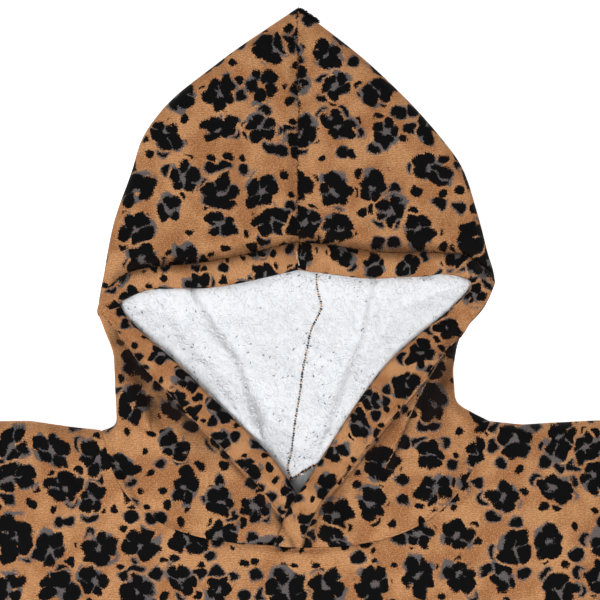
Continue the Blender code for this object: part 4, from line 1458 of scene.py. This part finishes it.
def lining_curls():
    """The curls of the lining's pile, where it shows, and the dark hairs caught in it."""
    random, places = scattered(1.9, 5)
    places = places[random.uniform(-0.7, 0.9, len(places)) < soft_noise(places[:, 0], places[:, 1], 7.0, 3)]
    count = len(places)
    angle = 5.0 * soft_noise(places[:, 0], places[:, 1], 13.0, 2) + random.uniform(-1.1, 1.1, count)
    tilt = random.uniform(0.0, 0.2, count)
    directions = np.column_stack([np.cos(angle) * np.cos(tilt), np.sin(angle) * np.cos(tilt), np.sin(tilt)])
    sizes = grain_sizes(random, count, (1.5, 2.8), (0.55, 0.9), (0.35, 0.6))
    places[:, 2] -= 0.02
    stitches("lining_curls_pile", places, directions, sizes, (CURL_PILE,), smooth=False)
    random, places = scattered(8.5, 8)
    places = places[soft_noise(places[:, 0], places[:, 1], 17.0, 4) > 0.2]
    count = len(places)
    angle = random.uniform(0.0, 6.28, count)
    directions = heading(angle, random.uniform(0.0, 0.3, count))
    sizes = grain_sizes(random, count, (0.6, 1.7), (0.25, 0.42), 0.3)
    places[:, 2] += 0.9
    stitches("lining_hairs_pile", places, directions, sizes, (DARK_HAIR,))


def brow_mark():
    """A pale bar of thread that crosses the brow at its middle."""
    y = np.linspace(150.0, 140.5, 6)
    x = np.array([-1.2, -0.6, -0.9, 0.0, 0.5, 0.8])
    places = np.column_stack([x, y, heights(plan_tree(HEM_FACES.values()), x, y)[0] + 0.1])
    directions, sizes = [(0.15, -1.0, 0.0)] * len(x), [(1.3, 0.42, 0.5)] * len(x)
    stitches("brow_mark_thread", places, directions, sizes, (PALE_THREAD,), grain=GRAIN)


def tip_tuft():
    """The dark tuft of pile at the hood's tip."""
    random = np.random.RandomState(12)
    count = 420
    share = random.uniform(0.0, 1.0, count) ** 1.3
    x = 1.0 + 15.0 * share + random.uniform(-2.0, 2.0, count)
    y = 357.0 - 10.5 * share - 7.0 * random.uniform(0.0, 1.0, count) ** 2 * (1.2 - share)
    places = np.column_stack([x, y, random.uniform(9.0, 17.0, count)])
    angle = random.uniform(0.2, 1.9, count)
    directions = heading(angle, random.uniform(-0.1, 0.5, count))
    sizes = grain_sizes(random, count, (1.3, 2.4), (0.5, 0.85), 0.6)
    stitches("tip_tuft_pile", places, directions, sizes, (BLACK_PILE,))


def seam_pile():
    """The pile of both panels that stands over the hood's centre seam, dark and tan."""
    random = np.random.RandomState(21)
    y = np.arange(150.0, 352.0, 0.55)
    count = len(y)
    y = y + random.uniform(-0.5, 0.5, count)
    x = seam_wander(y) + random.normal(0.0, 0.8, count)
    places = np.column_stack([x, y, top_height(x, y) + random.uniform(-0.5, 0.3, count)])
    angle = random.normal(0.0, 0.6, count) + math.pi * (random.uniform(size=count) < 0.5)
    directions = heading(angle, random.uniform(-0.4, 0.5, count))
    sizes = grain_sizes(random, count, (0.7, 1.7), (0.3, 0.5), 0.4)
    dark = soft_noise(0 * y, y, 7.0, 3) + random.uniform(-0.5, 0.5, count) > -0.25
    materials = (BLACK_PILE, BROWN_PILE)
    stitches("hood_seam_pile", places, directions, sizes, materials, np.where(dark, 0, 1))


def fold_pile():
    """Pile along the turned edge of each band and the fold beside it, paler there as a painted highlight, and
    dark pile over the brow.
    """
    random = np.random.RandomState(31)
    lines = []
    for side in (1, -1):
        crest = HEM_FACES[side][:, -1] * 0.45 + HEM_FACES[side][:, -2] * 0.55
        line = resample([p for p in crest if p[1] < FOLD_PILE_BELOW_Y], 0.5)
        lines.append(line[soft_noise(line[:, 0], line[:, 1], 5.0, 6) > random.uniform(-0.9, 0.5, len(line))])
    x, y = resample(TOP_FOLDS[0].line, 0.5).T
    lines.append(np.column_stack([x - 1.0, y + 0.6, top_height(x - 1.0, y + 0.6) + lap_lift(x, y)]))
    places = np.vstack(lines)
    along = np.vstack([np.gradient(line, axis=0) for line in lines])
    groove = [HEM_FACES[side][:, -1] for side in (1, -1)]
    groove = [resample([p for p in line if p[1] > GROOVE_PILE_ABOVE_Y], 0.5) for line in groove]
    pale = len(places)
    places = np.vstack([places] + groove)
    along = np.vstack([along] + [np.gradient(line, axis=0) for line in groove])
    count = len(places)
    across = np.column_stack([-along[:, 1], along[:, 0], np.zeros(count)])
    lean = across * random.normal(0.0, 0.5, count)[:, None]
    places = places + random.normal(0.0, 0.3, places.shape) * (1.0, 1.0, 0.5)
    sizes = grain_sizes(random, count, (0.5, 1.0), (0.22, 0.36), 0.3)
    which = (random.uniform(size=count) < 0.3).astype(int)
    which[pale:] = np.where(random.uniform(size=count - pale) < 0.35, 1, 2)
    materials = (HIGHLIGHT_EDGE_PILE, BROWN_PILE, BLACK_PILE)
    stitches("fold_edge_pile", places, along + lean, sizes, materials, which)


for one_side in (1, -1):
    hood_panel(one_side)
    hood_lining(one_side)
    hood_hem(one_side)
    sleeve(one_side)
body_front()
body_back()
back_lining()
LINING_TREE = plan_tree(FLOOR_FACES.values())
overlock("lining_seam_thread", [p for p in LINING_SEAM if -42.0 < p[1] < 190.0], 2.1, 3)
overlock("neck_seam_thread", NECK_SEAM_LINE, 1.5, 4)
lining_curls()
brow_mark()
tip_tuft()
seam_pile()
fold_pile()

# Floor, light and camera
VIEW_MIDDLE = (0.0017, 0.3675)
VIEW_SPAN = 0.510
LENS = 200.0
SENSOR = 36.0
LIT_PLACE = (0.0, 0.35, 0.0)
KEY_POWER = 74.0
FILL_POWER = 14.0
SURROUND = 0.38
FLOOR_GLOW = 0.75


def light(name, place, size, power):
    """A square light that faces the lit place."""
    data = bpy.data.lights.new(name, "AREA")
    data.energy, data.size = power, size
    made = bpy.data.objects.new(name, data)
    bpy.context.scene.collection.objects.link(made)
    made.location = place
    made.rotation_euler = (Vector(LIT_PLACE) - Vector(place)).to_track_quat("-Z", "Y").to_euler()


def studio():
    """The white floor, the light and a camera that looks straight down at the hood and chest."""
    bpy.ops.object.select_all(action="DESELECT")
    bpy.ops.mesh.primitive_plane_add(size=12.0, location=(0.0, 0.0, -0.0004))
    floor = bpy.context.object
    floor.name = "floor"
    t = Tree("pale_floor")
    t.shader.inputs["Emission Color"].default_value = (1.0, 1.0, 1.0, 1.0)
    t.shader.inputs["Emission Strength"].default_value = FLOOR_GLOW
    floor.data.materials.append(t.finish((0.90, 0.90, 0.90, 1.0), 0.9, ()))
    world = bpy.data.worlds.new("soft_surround")
    bpy.context.scene.world = world
    world.use_nodes = True
    surround = world.node_tree.nodes["Background"]
    surround.inputs["Color"].default_value = (1.0, 1.0, 1.0, 1.0)
    surround.inputs["Strength"].default_value = SURROUND
    bpy.context.scene.view_settings.view_transform = "Standard"
    light("key", (-0.7, -1.1, 2.4), 1.4, KEY_POWER)
    light("fill", (1.0, 1.6, 2.4), 1.6, FILL_POWER)
    camera = bpy.data.objects.new("camera", bpy.data.cameras.new("camera"))
    bpy.context.scene.collection.objects.link(camera)
    camera.data.lens, camera.data.sensor_width = LENS, SENSOR
    camera.data.clip_end = 20.0
    camera.location = (*VIEW_MIDDLE, VIEW_SPAN * LENS / SENSOR)
    camera.rotation_euler = (0.0, 0.0, 0.0)
    bpy.context.scene.camera = camera


studio()
